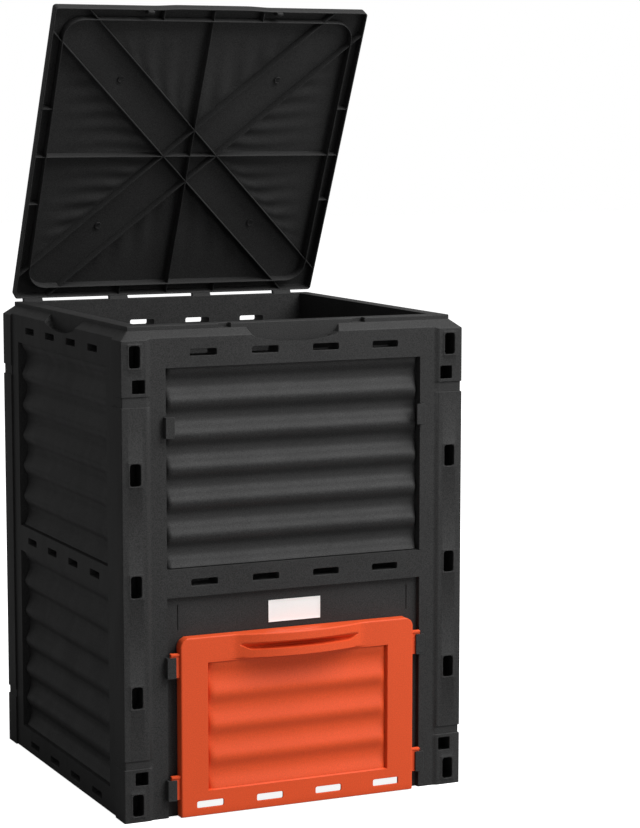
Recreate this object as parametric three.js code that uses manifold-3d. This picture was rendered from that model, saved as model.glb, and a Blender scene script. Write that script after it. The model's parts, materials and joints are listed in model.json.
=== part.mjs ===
// Compost bin of four hollow plastic walls, with a hinged lid and a lift-out emptying door.
// Millimetres, +Z up. The bin stands on z = 0 and its front faces -Y.

import * as THREE from 'three';
import { mergeVertices } from 'three/addons/utils/BufferGeometryUtils.js';
import Module from 'manifold-3d';

const wasm = await Module();
wasm.setup();

// Shared clearances and cuts
const overrun = 12;
const seamGap = 0.3;
const slideGap = 0.5;
const weldDistance = 0.0001;

// Body
const bodyWidth = 600;
const shoulderHeight = 770;
const chamferRise = 14;
const chamferInset = 16.5;
const collarRise = 7.3;
const wallThickness = 43;
const skin = 2;

// Corner pads with their windows and peg holes
const padProud = 3;
const padWidth = 51;
const padSlope = 6;
const lowGrooveRise = 86;
const lowGrooveHeight = 13.8;
const highGrooveDrop = 88.5;
const highGrooveHeight = 17;
const windowWidth = 17.5;
const windowHeight = 35;
const windowInset = 23;
const windowPitch = 178.3;
const lowestWindow = 27.3;
const highestWindowDrop = 25.5;
const windowFrame = 2.5;
const frameProud = 1;
const pegHole = 21.5;
const pegHoleInset = 29.5;
const lowPegRise = 70;
const highPegDrop = 72.7;

// Rails, recessed panels and vent slots
const topRail = 45;
const middleRail = 44.8;
const bottomRail = 42;
const upperPanelHeight = 322.5;
const stileWidth = 76;
const panDepth = 8;
const slotWidth = 46;
const slotHeight = 11.3;
const slotPitchShare = 0.238;
const slotCount = 4;
const topSlotDrop = 22;
const bottomSlotRise = 16.3;

// Ridges and grooves of a panel
const ridgeCount = 6;
const ridgeRise = 6;
const ridgeHalf = 11.5;
const crestHalf = 3.5;
const ridgeMargin = 2.5;
const grooveDepth = 13.5;
const grooveFall = 6;
const grooveClimb = 9;
const grooveEnd = 6.5;
const fieldMargin = 10;
const roundSteps = 3;

// Finger scoop in the rim
const scoopTop = 82;
const scoopShoulder = 76;
const scoopBottom = 44;
const scoopDrop = 31;
const scoopLow = 26;
const scoopRun = 34;

// Hooks that lock a side wall into the corner posts
const hookReach = 30;
const hookWidth = 15;
const hookHeight = 30;

// Drain openings under a side wall
const drainWidth = 50;
const drainDepth = 20;

// Emptying doorway and brackets
const doorwayMargin = 39;
const doorwayDrop = 41;
const lowBracketRise = 63.5;
const middleBracketDrop = 30;
const highBracketDrop = 122;
const bracketHeight = 34;
const bracketWidth = 15.2;
const bracketPlate = 3;
const bracketProud = 11;
const bracketOverlap = 4.5;
const bracketWeb = 3.5;

// Door
const doorSideGap = 17.5;
const doorHeadRoom = 64.7;
const doorFoot = 1;
const doorDepth = 18.7;
const doorSkin = 2.8;
const doorCorner = 15;
const doorCornerSteps = 4;
const doorStand = 1.8;
const doorPanelMargin = 46.5;
const doorPanelRise = 41;
const doorPanelDrop = 42;
const doorPanelDepth = 7;
const doorRidgeCount = 4;
const doorRidgeRise = 5;
const doorRidgeHalf = 22;
const doorSlotPitchShare = 0.253;
const lugHeight = 40;
const lugLip = 6;
const lugTongue = 5.4;
const lugReach = 15.5;
const lipReach = 20.5;

// Bowed handle of the door
const bowWidth = 224;
const bowProud = 20;
const bowHeight = 41;
const bowSteps = 12;
const gripBottomRise = 14.5;
const gripHeight = 11.5;
const gripWidth = 212;
const gripDepth = 9;

// Blank name plate
const plateWidth = 92;
const plateHeight = 36;
const plateThickness = 0.9;
const plateLift = 10;

// Lid
const lidDepth = 18.5;
const lidSkin = 2.5;
const lidFrontOverhang = 4.8;
const lidSideOverhang = 2.5;
const lidSetback = 8;
const lidRest = 0.3;
const lidOpenAngle = 63.8;
const ringInset = 20;
const ringCorner = 35;
const ringSteps = 5;
const ribThickness = 2.5;
const ribRecess = 1.5;
const braceAngle = 45;
const braceSpread = 50;
const stubSpread = 91;
const bossSpreadShare = 0.51;
const bossRadius = 7;
const bossBore = 4.5;
const bossHeight = 8;
const bossSides = 12;
const fingerLipWidth = 168;
const fingerLipProud = 3;

// Lid hinge
const hingeInset = 25.5;
const hingeDrop = 4.3;
const hingeCount = 4;
const hingePitchShare = 4 / 15;
const hingeShift = -12;
const knuckleWidth = 36;
const knuckleRadius = 6;
const pinRadius = 2.5;
const pinBite = 12;
const pinSides = 16;
const knuckleSides = 20;
const notchRun = 12.5;
const notchDrop = 7;
const armHeight = 9;

// Snap catch between lid and collar
const catchSpread = 118;
const catchWidth = 13;
const catchBlock = 13;
const catchDrop = 5.8;
const catchBite = 1;
const pocketWidth = 19;
const pocketDepth = 2;
const pocketSill = 1.3;

// Levels and planes worked out from the sizes, for a wall whose outer face looks to -Y
const half = bodyWidth / 2;
const padFace = -half;
const railFace = padFace + padProud;
const panFloor = railFace + panDepth;
const innerFace = padFace + wallThickness;
const collarFace = padFace + chamferInset;
const collarBase = shoulderHeight + chamferRise;
const collarTop = collarBase + collarRise;
const panHalf = half - stileWidth;
const padInner = half - padWidth;
const sideHalf = half - wallThickness - seamGap;
const upperRow = [shoulderHeight - topRail - upperPanelHeight, shoulderHeight - topRail];
const lowerRow = [bottomRail, upperRow[0] - middleRail];
const middleSlotHeight = lowerRow[1] + middleRail / 2;
const slotPitch = slotPitchShare * 2 * panHalf;
const hingeY = half - hingeInset;
const hingeZ = collarTop - hingeDrop;
const doorHalf = panHalf - doorSideGap;
const doorTop = lowerRow[1] - doorHeadRoom;
const doorPanelHalf = doorHalf - doorPanelMargin;
const doorPanelTop = doorTop - doorPanelDrop;
const doorBack = panFloor - doorStand;
const doorFace = doorBack - doorDepth;
const bowFront = doorFace - bowProud;
const bracketTops = [lowBracketRise, doorTop - middleBracketDrop, shoulderHeight - highBracketDrop];

// Turns a closed geometry into a solid that can be cut and joined.
function solid(geometry) {
  const bare = geometry.clone();
  bare.deleteAttribute('normal');
  bare.deleteAttribute('uv');
  const merged = mergeVertices(bare, weldDistance);
  return new wasm.Manifold(new wasm.Mesh({
    numProp: 3,
    vertProperties: new Float32Array(merged.attributes.position.array),
    triVerts: new Uint32Array(merged.index.array),
  }));
}

// Turns a solid back into a geometry with flat faces.
function geometryOf(body) {
  const mesh = body.getMesh();
  const geometry = new THREE.BufferGeometry();
  geometry.setAttribute('position', new THREE.BufferAttribute(mesh.vertProperties, mesh.numProp));
  geometry.setIndex(new THREE.BufferAttribute(mesh.triVerts, 1));
  geometry.computeVertexNormals();
  return geometry;
}

// Box between two limits on each axis.
function block([x0, x1], [y0, y1], [z0, z1]) {
  const box = new THREE.BoxGeometry(x1 - x0, y1 - y0, z1 - z0);
  box.translate((x0 + x1) / 2, (y0 + y1) / 2, (z0 + z1) / 2);
  return solid(box);
}

// Joins a list of solids.
function joined(bodies) {
  return bodies.reduce((sum, body) => sum.add(body));
}

// Directions in which an outline's two axes and its run lie, for a run along x, y or z.
const bases = {
  x: new THREE.Matrix4().makeBasis(
    new THREE.Vector3(0, 1, 0), new THREE.Vector3(0, 0, 1), new THREE.Vector3(1, 0, 0)),
  y: new THREE.Matrix4().makeBasis(
    new THREE.Vector3(1, 0, 0), new THREE.Vector3(0, 0, 1), new THREE.Vector3(0, -1, 0)),
  z: new THREE.Matrix4(),
};

// Runs an outline from one limit to the other: (y, z) along x, (x, z) along y, (x, y) along z.
function prism(axis, points, from, to, hole = null) {
  const shape = new THREE.Shape(points.map(([a, b]) => new THREE.Vector2(a, b)));
  if (hole) {
    shape.holes.push(new THREE.Path(hole.map(([a, b]) => new THREE.Vector2(a, b))));
  }
  const geometry = new THREE.ExtrudeGeometry(shape, { depth: to - from, bevelEnabled: false });
  geometry.applyMatrix4(bases[axis]);
  const start = { x: [from, 0, 0], y: [0, to, 0], z: [0, 0, from] }[axis];
  geometry.translate(...start);
  return solid(geometry);
}

// Round bar along x.
function bar(radius, from, to, y, z, sides) {
  const geometry = new THREE.CylinderGeometry(radius, radius, to - from, sides);
  geometry.rotateZ(-Math.PI / 2);
  geometry.translate((from + to) / 2, y, z);
  return solid(geometry);
}

// Rectangle whose four corners are arcs.
function roundedRectangle(x0, x1, y0, y1, radius, steps) {
  const corners = [[x1, y1, 0], [x0, y1, 1], [x0, y0, 2], [x1, y0, 3]];
  return corners.flatMap(([x, y, turn]) => Array.from({ length: steps + 1 }, (_, i) => {
    const angle = (turn + i / steps) * Math.PI / 2;
    const cx = x + (x === x1 ? -radius : radius);
    const cy = y + (y === y1 ? -radius : radius);
    return [cx + radius * Math.cos(angle), cy + radius * Math.sin(angle)];
  }));
}

// Rectangle about the origin.
function rectangle(halfX, halfY) {
  return [[halfX, -halfY], [halfX, halfY], [-halfX, halfY], [-halfX, -halfY]];
}

// Bar whose outline (x, z) narrows towards its outer end at faceY and is full from fullY inwards.
function taperedBar(points, centreZ, spread, faceY, fullY, run, steps) {
  const shape = new THREE.Shape(points.map(([a, b]) => new THREE.Vector2(a, b)));
  const geometry = new THREE.ExtrudeGeometry(shape, {
    depth: run,
    bevelThickness: fullY - faceY,
    bevelSize: spread,
    bevelSegments: steps,
  });
  geometry.applyMatrix4(bases.y);
  geometry.translate(0, fullY + run, centreZ);
  return solid(geometry);
}

// Groove that is full from outerY to rimY and then narrows to its floor; each of its two
// rectangles is a half width and the limits on z.
function groove([rimHalf, rimLimits], [floorHalf, floorLimits], outerY, rimY, floorY) {
  const corners = (half, limits, y) => limits.flatMap((z) => [[-half, y, z], [half, y, z]]);
  return wasm.Manifold.hull([
    ...corners(rimHalf, rimLimits, outerY),
    ...corners(rimHalf, rimLimits, rimY),
    ...corners(floorHalf, floorLimits, floorY),
  ]);
}

// Space in front of a ridged panel: a shallow pan with ridges left standing, half ones at its
// top and bottom, and grooves sunk between them. grow moves every face of it outwards, for the
// hollow that runs behind the panel.
function panelSpace([bottom, top], grow, ridged) {
  const pan = block(
    [-panHalf - grow, panHalf + grow],
    [padFace - overrun, panFloor + grow],
    [bottom - grow, top + grow]);
  if (!ridged) {
    return pan;
  }
  const pitch = (top - bottom) / ridgeCount;
  const crestReach = panHalf - ridgeMargin - ridgeHalf + crestHalf;
  const rimReach = panHalf - fieldMargin + grow;
  const steps = grow > 0 ? 1 : 2;
  const ridge = grow > 0
    ? rectangle(crestReach - grow, crestHalf - grow)
    : roundedRectangle(-crestReach, crestReach, -crestHalf, crestHalf, crestHalf, roundSteps);
  let space = pan;
  for (let i = 0; i <= ridgeCount; i += 1) {
    space = space.subtract(taperedBar(
      ridge, top - i * pitch, ridgeHalf - crestHalf, panFloor - ridgeRise + grow, panFloor + grow,
      skin, steps));
  }
  for (let i = 0; i < ridgeCount; i += 1) {
    const upper = top - i * pitch - ridgeHalf + grow;
    const lower = top - (i + 1) * pitch + ridgeHalf - grow;
    space = space.add(groove(
      [rimReach, [lower, upper]],
      [rimReach - grooveEnd, [lower + grooveClimb, upper - grooveFall]],
      railFace + grow, panFloor + grow, panFloor + grooveDepth + grow));
  }
  return space;
}

// Vent slots of one rail, cut right through the wall.
function ventSlots(centreZ, pitch, from, to, grow) {
  return joined(Array.from({ length: slotCount }, (_, i) => {
    const x = (i - (slotCount - 1) / 2) * pitch;
    return block(
      [x - slotWidth / 2 - grow, x + slotWidth / 2 + grow],
      [from, to],
      [centreZ - slotHeight / 2 - grow, centreZ + slotHeight / 2 + grow]);
  }));
}

// Everything outside the sloped shoulder and the collar, along one side.
function shoulderCut(halfSpan) {
  return prism('x', [
    [padFace - overrun, shoulderHeight],
    [padFace, shoulderHeight],
    [collarFace, collarBase],
    [collarFace, collarTop + overrun],
    [padFace - overrun, collarTop + overrun],
  ], -halfSpan, halfSpan);
}

// Finger scoop that slopes out of the collar's top down to the wall's face.
function fingerScoop(grow) {
  const run = scoopRun + padProud + overrun;
  const slope = Math.atan2(scoopDrop, scoopRun);
  const flat = Math.cos(slope);
  const outline = [
    [scoopTop + grow, overrun],
    [scoopTop + grow, 0],
    [scoopShoulder + grow, -scoopDrop * flat + scoopLow * flat / 2],
    [scoopBottom + grow, -scoopDrop * flat + (scoopDrop - scoopLow) * flat - grow],
    [0, -scoopDrop * flat - grow],
    [-scoopBottom - grow, -scoopDrop * flat + (scoopDrop - scoopLow) * flat - grow],
    [-scoopShoulder - grow, -scoopDrop * flat + scoopLow * flat / 2],
    [-scoopTop - grow, 0],
    [-scoopTop - grow, overrun],
  ];
  const length = (run + scoopRun) / flat;
  return prism('y', outline, -overrun / flat, length)
    .rotate([slope * 180 / Math.PI, 0, 0])
    .translate([0, railFace, collarTop]);
}

// Places of the corner windows, from the lowest up; the middle one is level with the slots.
const windowHeights = [
  lowestWindow,
  middleSlotHeight - windowPitch,
  middleSlotHeight,
  middleSlotHeight + windowPitch,
  shoulderHeight - highestWindowDrop,
];

// Space of all vent slots of a wall, grown for the tunnels' own walls.
function allSlots(hasFoot, grow) {
  const through = [padFace - overrun, innerFace + overrun];
  const rails = [shoulderHeight - topSlotDrop, middleSlotHeight];
  if (hasFoot) {
    rails.push(bottomSlotRise);
  }
  return joined(rails.map((z) => ventSlots(z, slotPitch, ...through, grow)));
}

// Recessed panels of a wall; the lower one of the front is plain and open to the ground.
function allPanels(hasFoot, grow) {
  const lower = hasFoot ? lowerRow : [-overrun, lowerRow[1]];
  return panelSpace(upperRow, grow, true).add(panelSpace(lower, grow, hasFoot));
}

// Hollow inside a wall, between its outer and inner skins.
function wallHollow(halfSpan, hasFoot, hasScoop, coreTop) {
  const faces = [railFace + skin, innerFace - skin];
  const shaft = block([-halfSpan + skin, halfSpan - skin], faces, [skin, shoulderHeight - skin]);
  const coreHalf = Math.min(halfSpan - skin, -collarFace - skin);
  const core = block(
    [-coreHalf, coreHalf],
    [collarFace + skin, innerFace - skin],
    [shoulderHeight - 2 * skin, coreTop]);
  let hollow = shaft.add(core)
    .subtract(allPanels(hasFoot, skin))
    .subtract(allSlots(hasFoot, skin));
  if (hasScoop) {
    hollow = hollow.subtract(fingerScoop(2 * skin));
  }
  return hollow;
}

// Corner post details on one end of a front or back wall; side is -1 or 1.
function postCuts(side) {
  const span = (inset, width) => {
    const centre = side * (half - inset);
    return [centre - width / 2, centre + width / 2];
  };
  const intoHollow = [padFace - frameProud - overrun, railFace + skin + overrun];
  const cuts = windowHeights.map((z) => block(
    span(windowInset, windowWidth), intoHollow, [z - windowHeight / 2, z + windowHeight / 2]));
  for (const z of [lowPegRise, shoulderHeight - highPegDrop]) {
    cuts.push(block(span(pegHoleInset, pegHole), intoHollow, [z - pegHole / 2, z + pegHole / 2]));
  }
  const hookSlot = [hookWidth + 2 * slideGap, hookHeight + 2 * slideGap];
  for (const z of windowHeights) {
    cuts.push(block(
      span(windowInset, hookSlot[0]),
      [innerFace - skin - overrun, innerFace + overrun],
      [z - hookSlot[1] / 2, z + hookSlot[1] / 2]));
  }
  return joined(cuts);
}

// Raised frames round the windows of one corner post.
function windowFrames(side) {
  const centre = side * (half - windowInset);
  const wide = windowWidth / 2 + windowFrame;
  const tall = windowHeight / 2 + windowFrame;
  return joined(windowHeights.map((z) => block(
    [centre - wide, centre + wide], [padFace - frameProud, railFace], [z - tall, z + tall])));
}

// Lowers the rails and stiles between the corner pads, and the grooves between the pads.
function padReliefs() {
  const outside = padFace - overrun;
  const top = collarTop + overrun;
  const reliefs = [prism('z', [
    [-padInner, railFace],
    [padInner, railFace],
    [padInner + padSlope, padFace],
    [padInner + padSlope, outside],
    [-padInner - padSlope, outside],
    [-padInner - padSlope, padFace],
  ], -overrun, top)];
  const grooves = [
    [lowGrooveRise, lowGrooveRise + lowGrooveHeight],
    [shoulderHeight - highGrooveDrop - highGrooveHeight, shoulderHeight - highGrooveDrop],
  ];
  grooves.forEach((zs) => {
    reliefs.push(block([outside, -outside], [outside, railFace], zs));
    reliefs.push(block([outside, railFace], [outside, innerFace + overrun], zs));
    reliefs.push(block([-railFace, -outside], [outside, innerFace + overrun], zs));
  });
  return joined(reliefs);
}

// Front or back wall with its two corner posts, seen with its outer face to -Y.
function postWall(isFront) {
  const coreTop = isFront ? collarTop - skin : hingeZ - notchDrop - skin;
  let wall = block([-half, half], [padFace, innerFace], [0, collarTop])
    .subtract(padReliefs())
    .add(windowFrames(-1))
    .add(windowFrames(1))
    .subtract(shoulderCut(half + overrun));
  const across = shoulderCut(half + overrun);
  wall = wall.subtract(across.rotate([0, 0, 90])).subtract(across.rotate([0, 0, -90]));
  let hollow = wallHollow(-railFace, !isFront, isFront, coreTop);
  const doorway = (grow) => block(
    [-panHalf + doorwayMargin - grow, panHalf - doorwayMargin + grow],
    [padFace - overrun, innerFace + overrun],
    [-overrun, doorTop - doorwayDrop + grow]);
  if (isFront) {
    hollow = hollow.subtract(doorway(skin));
  }
  wall = wall
    .subtract(allPanels(!isFront, 0))
    .subtract(hollow)
    .subtract(allSlots(!isFront, 0))
    .subtract(postCuts(-1))
    .subtract(postCuts(1));
  if (isFront) {
    wall = wall.subtract(doorway(0)).subtract(fingerScoop(0)).subtract(catchPockets());
    wall = wall.add(doorBrackets());
  }
  return isFront ? wall : wall.subtract(hingeNotches());
}

// Side wall that hooks in between the corner posts, seen with its outer face to -Y.
function sideWall() {
  const span = [-sideHalf, sideHalf];
  const hooks = windowHeights.flatMap((z) => [-1, 1].map((side) => {
    const ends = [side * (sideHalf - skin), side * (sideHalf + hookReach)].sort((a, b) => a - b);
    const middle = padFace + windowInset;
    return block(
      ends, [middle - hookWidth / 2, middle + hookWidth / 2],
      [z - hookHeight / 2, z + hookHeight / 2]);
  }));
  const drains = [-slotPitch, 0, slotPitch].map((x) => block(
    [x - drainWidth / 2, x + drainWidth / 2],
    [innerFace - skin - drainDepth, innerFace - skin],
    [-overrun, skin + overrun / 2]));
  return block(span, [railFace, innerFace], [0, collarTop])
    .subtract(shoulderCut(half))
    .subtract(allPanels(true, 0))
    .subtract(wallHollow(sideHalf, true, true, collarTop - skin))
    .subtract(allSlots(true, 0))
    .subtract(fingerScoop(0))
    .subtract(joined(drains))
    .add(joined(hooks));
}

// Brackets on the front stiles: a plate held off the panel by a web on its outer side.
function doorBrackets() {
  const outer = panHalf + bracketOverlap;
  const plateFace = railFace - bracketProud;
  const pieces = bracketTops.flatMap((top) => [-1, 1].flatMap((side) => {
    const zs = [top - bracketHeight, top];
    const ordered = (a, b) => [side * a, side * b].sort((p, q) => p - q);
    return [
      block(ordered(outer - bracketWidth, outer), [plateFace, plateFace + bracketPlate], zs),
      block(ordered(outer - bracketWeb, outer), [plateFace, railFace + skin / 2], zs),
    ];
  }));
  return joined(pieces);
}

// Open-topped pockets in the front of the collar.
function catchPockets() {
  return joined([-1, 1].map((side) => block(
    [side * catchSpread - pocketWidth / 2, side * catchSpread + pocketWidth / 2],
    [collarFace - overrun, collarFace + pocketDepth],
    [collarBase + pocketSill, collarTop + overrun])));
}

// Centres of the lid's hinges along x.
const hingeCentres = Array.from(
  { length: hingeCount },
  (_, i) => hingeShift + (i - (hingeCount - 1) / 2) * hingePitchShare * bodyWidth);

// Notches and pin bores in the back of the collar; the back wall is built turned by 180 degrees.
function hingeNotches() {
  const y = -hingeY;
  return joined(hingeCentres.flatMap((centre) => {
    const x = -centre;
    const notch = knuckleWidth / 2 + slideGap;
    const bore = knuckleWidth / 2 + pinBite + slideGap;
    return [
      block([x - notch, x + notch], [padFace - overrun, y + notchRun],
        [hingeZ - notchDrop, collarTop + overrun]),
      bar(pinRadius + seamGap, x - bore, x + bore, y, hingeZ, pinSides),
    ];
  }));
}

// Outline of the door's face, square at the foot and rounded at the top.
function doorOutline(inset) {
  const w = doorHalf - inset;
  const top = doorTop - inset;
  const radius = doorCorner - inset;
  const round = roundedRectangle(-w, w, doorFoot + inset, top, radius, doorCornerSteps);
  const upper = round.filter(([, z]) => z > top - radius - weldDistance);
  return [...upper, [-w, doorFoot + inset], [w, doorFoot + inset]];
}

// Lift-out door with its lugs and bowed handle.
function door() {
  const faces = [doorFace - overrun, doorFace + doorPanelDepth];
  const panel = (grow) => {
    let space = block(
      [-doorPanelHalf - grow, doorPanelHalf + grow],
      [faces[0], faces[1] + grow],
      [doorPanelRise - grow, doorPanelTop + grow]);
    const pitch = (doorPanelTop - doorPanelRise) / doorRidgeCount;
    const spread = doorRidgeHalf - crestHalf - grow;
    const reach = doorPanelHalf - ridgeMargin - spread - 2 * grow;
    const ridge = grow > 0
      ? rectangle(reach, crestHalf)
      : roundedRectangle(-reach, reach, -crestHalf, crestHalf, crestHalf, roundSteps);
    for (let i = 0; i < doorRidgeCount; i += 1) {
      space = space.subtract(taperedBar(
        ridge, doorPanelRise + (i + 1 / 2) * pitch, spread,
        faces[1] - doorRidgeRise + grow, faces[1] + grow, skin, grow > 0 ? 1 : 2));
    }
    return space;
  };
  const bowRadius = (bowWidth ** 2 / 4 + bowProud ** 2) / (2 * bowProud);
  const sweep = Math.asin(bowWidth / 2 / bowRadius);
  const bowArc = Array.from({ length: bowSteps + 1 }, (_, i) => {
    const angle = sweep * (2 * i / bowSteps - 1);
    return [
      bowRadius * Math.sin(angle),
      bowFront + bowRadius - bowRadius * Math.cos(angle),
    ];
  });
  const bow = prism('z', [
    ...bowArc, [bowWidth / 2, doorFace + doorSkin], [-bowWidth / 2, doorFace + doorSkin],
  ], doorTop - bowHeight, doorTop);
  const gripBottom = doorTop - bowHeight + gripBottomRise;
  const grip = (grow) => block(
    [-gripWidth / 2 - grow, gripWidth / 2 + grow],
    [bowFront - overrun, doorFace + gripDepth + grow],
    [gripBottom - grow, gripBottom + gripHeight + grow]);
  const slots = (grow) => ventSlots(
    bottomSlotRise, doorSlotPitchShare * 2 * doorHalf, doorFace - overrun, doorBack + overrun, grow);
  const inside = prism('y', doorOutline(doorSkin), doorFace + doorSkin, doorBack + overrun)
    .subtract(panel(doorSkin))
    .subtract(grip(doorSkin))
    .subtract(slots(doorSkin));
  return prism('y', doorOutline(0), doorFace, doorBack)
    .add(bow)
    .subtract(inside)
    .subtract(panel(0))
    .subtract(grip(0))
    .subtract(slots(0))
    .add(doorLugs());
}

// Lugs of the door: a tongue behind each lower bracket's plate and a lip that rests on its top.
function doorLugs() {
  const plateBack = railFace - bracketProud + bracketPlate;
  const tongueFront = plateBack + slideGap;
  const edge = doorHalf;
  const lowerPair = bracketTops.slice(0, 2);
  return joined(lowerPair.flatMap((top) => [-1, 1].flatMap((side) => {
    const ordered = (a, b) => [side * a, side * b].sort((p, q) => p - q);
    const lip = top + seamGap;
    return [
      block(ordered(edge - doorSkin, edge + lugReach), [tongueFront, tongueFront + lugTongue],
        [lip + lugLip - lugHeight, lip + lugLip]),
      block(ordered(edge - doorSkin, edge + lipReach), [doorFace, tongueFront + lugTongue],
        [lip, lip + lugLip]),
    ];
  })));
}

// Lid in its closed place, measured from the hinge axis.
function lid() {
  const freeEdge = hingeDrop + lidRest;
  const top = freeEdge + lidDepth;
  const frontY = collarFace - lidFrontOverhang - hingeY;
  const rearY = -lidSetback;
  const middleY = (frontY + rearY) / 2;
  const w = -collarFace + lidSideOverhang;
  const outer = block([-w, w], [frontY, rearY], [freeEdge, top]);
  const inner = block(
    [-w + lidSkin, w - lidSkin],
    [frontY + lidSkin, rearY - lidSkin],
    [freeEdge - overrun, top - lidSkin]);
  const heights = [freeEdge + ribRecess, top - lidSkin / 2];
  const long = rearY - frontY;
  const t = ribThickness / 2;
  const ringLine = (inset) => roundedRectangle(
    -w + inset, w - inset, frontY + inset, rearY - inset,
    ringCorner + ringInset - inset, ringSteps);
  const ring = prism('z', ringLine(ringInset), freeEdge, top - lidSkin / 2,
    ringLine(ringInset + ribThickness));
  const ribs = [
    block([-long, long], [middleY - t, middleY + t], heights),
    block([-t, t], [middleY - long, middleY + long], heights),
  ];
  for (const turn of [braceAngle, -braceAngle]) {
    for (const side of [-1, 1]) {
      const shift = side * braceSpread * Math.SQRT1_2;
      ribs.push(block([-long, long], [shift - t, shift + t], heights)
        .rotate([0, 0, turn])
        .translate([0, middleY, 0]));
    }
  }
  const band = outer.subtract(block(
    [-w + ringInset + t, w - ringInset - t],
    [frontY + ringInset + t, rearY - ringInset - t],
    [freeEdge - overrun, top + overrun]));
  const stubs = [-1, 1].flatMap((side) => {
    const at = side * stubSpread;
    return [
      block([at - t, at + t], [middleY - long, middleY + long], heights),
      block([-long, long], [middleY + at - t, middleY + at + t], heights),
    ];
  });
  const bosses = [-1, 1].flatMap((sx) => [-1, 1].map((sy) => {
    const boss = (radius, height) => {
      const geometry = new THREE.CylinderGeometry(radius, radius, height, bossSides);
      geometry.rotateX(Math.PI / 2);
      geometry.translate(
        sx * bossSpreadShare * w,
        middleY + sy * bossSpreadShare * (rearY - frontY) / 2,
        top - lidSkin - height / 2);
      return solid(geometry);
    };
    return boss(bossRadius, bossHeight + lidSkin).subtract(boss(bossBore, bossHeight + lidSkin));
  }));
  const body = outer.subtract(inner)
    .add(joined(ribs).intersect(outer))
    .add(joined(stubs).intersect(band))
    .add(ring)
    .add(joined(bosses).intersect(outer))
    .add(lidCatches(frontY, freeEdge, top))
    .add(block(
      [-fingerLipWidth / 2, fingerLipWidth / 2],
      [frontY - fingerLipProud, frontY + lidSkin / 2],
      [freeEdge, top]));
  return hingeCentres.reduce((sum, x) => sum.add(knuckle(x, rearY, freeEdge))
    .subtract(bar(pinRadius + seamGap, x - knuckleWidth, x + knuckleWidth, 0, 0, pinSides)), body);
}

// Catches behind the lid's front edge, each with a nib that drops in front of the collar.
function lidCatches(frontY, freeEdge, top) {
  return joined([-1, 1].flatMap((side) => {
    const xs = [side * catchSpread - catchWidth / 2, side * catchSpread + catchWidth / 2];
    return [
      block(xs, [frontY + lidSkin / 2, frontY + lidSkin + catchBlock],
        [freeEdge, top - lidSkin / 2]),
      block(xs, [frontY + lidSkin / 2, frontY + lidFrontOverhang + catchBite],
        [freeEdge - catchDrop, freeEdge + lidSkin]),
    ];
  }));
}

// Knuckle round the hinge axis with the arm that joins it to the lid's rear edge.
function knuckle(x, rearY, freeEdge) {
  const ends = [x - knuckleWidth / 2, x + knuckleWidth / 2];
  const root = rearY - lidSkin / 2;
  const arm = prism('x', [
    [root, freeEdge],
    [-knuckleRadius * Math.SQRT1_2, -knuckleRadius * Math.SQRT1_2],
    [knuckleRadius * Math.SQRT1_2, knuckleRadius * Math.SQRT1_2],
    [root, freeEdge + armHeight],
  ], ...ends);
  return bar(knuckleRadius, ...ends, 0, 0, knuckleSides).add(arm);
}

// Finishes
const blackPlastic = new THREE.MeshStandardMaterial({ color: 0x343434, roughness: 0.62, metalness: 0 });
const orangePlastic = new THREE.MeshStandardMaterial({ color: 0xd3522d, roughness: 0.5, metalness: 0 });
const whitePlate = new THREE.MeshStandardMaterial({ color: 0xf5eeeb, roughness: 0.6, metalness: 0 });
const pinPlastic = new THREE.MeshStandardMaterial({ color: 0x1c1c1c, roughness: 0.45, metalness: 0 });

// One named piece of the bin.
function piece(name, geometry, material) {
  const mesh = new THREE.Mesh(geometry, material);
  mesh.name = name;
  return mesh;
}

// Assembly, set so that the origin is under the middle of its overall length and width.
const bin = new THREE.Group();
bin.position.y = -(bowFront + half + frameProud) / 2;

bin.add(piece('front_wall', geometryOf(postWall(true)), blackPlastic));

const backWall = piece('back_wall', geometryOf(postWall(false)), blackPlastic);
backWall.rotation.z = Math.PI;
bin.add(backWall);

const sideGeometry = geometryOf(sideWall());
const leftWall = piece('left_wall', sideGeometry, blackPlastic);
leftWall.rotation.z = -Math.PI / 2;
bin.add(leftWall);

const rightWall = piece('right_wall', sideGeometry, blackPlastic);
rightWall.rotation.z = Math.PI / 2;
bin.add(rightWall);

bin.add(piece('door', geometryOf(door()), orangePlastic));

const plateBack = panFloor - seamGap;
const namePlate = block(
  [-plateWidth / 2, plateWidth / 2],
  [plateBack - plateThickness, plateBack],
  [doorTop + plateLift, doorTop + plateLift + plateHeight]);
bin.add(piece('name_plate', geometryOf(namePlate), whitePlate));

const lidGroup = new THREE.Group();
lidGroup.position.set(0, hingeY, hingeZ);
lidGroup.rotation.x = -lidOpenAngle * Math.PI / 180;
lidGroup.add(piece('lid', geometryOf(lid()), blackPlastic));
bin.add(lidGroup);

hingeCentres.forEach((x, i) => {
  const reach = knuckleWidth / 2 + pinBite;
  const pin = bar(pinRadius, x - reach, x + reach, hingeY, hingeZ, pinSides);
  bin.add(piece(`hinge_pin_${i + 1}`, geometryOf(pin), pinPlastic));
});

export default bin;
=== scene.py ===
"""Looks of a square compost bin with ribbed walls, a propped lid and an orange emptying door.

Sizes are millimetres in the classes and become metres in the meshes. A wall is worked out with its
outer face towards -Y, as a depth behind the outer plane over grids of (x, z). Its open border is
carried straight back to the inner plane and filled, and the whole is turned to its side of the bin.
"""

import json
import logging
import math
from collections.abc import Callable, Sequence
from dataclasses import dataclass, field
from enum import Enum

import bmesh
import bpy
import numpy as np
from mathutils import Matrix
from numpy.typing import NDArray

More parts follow.
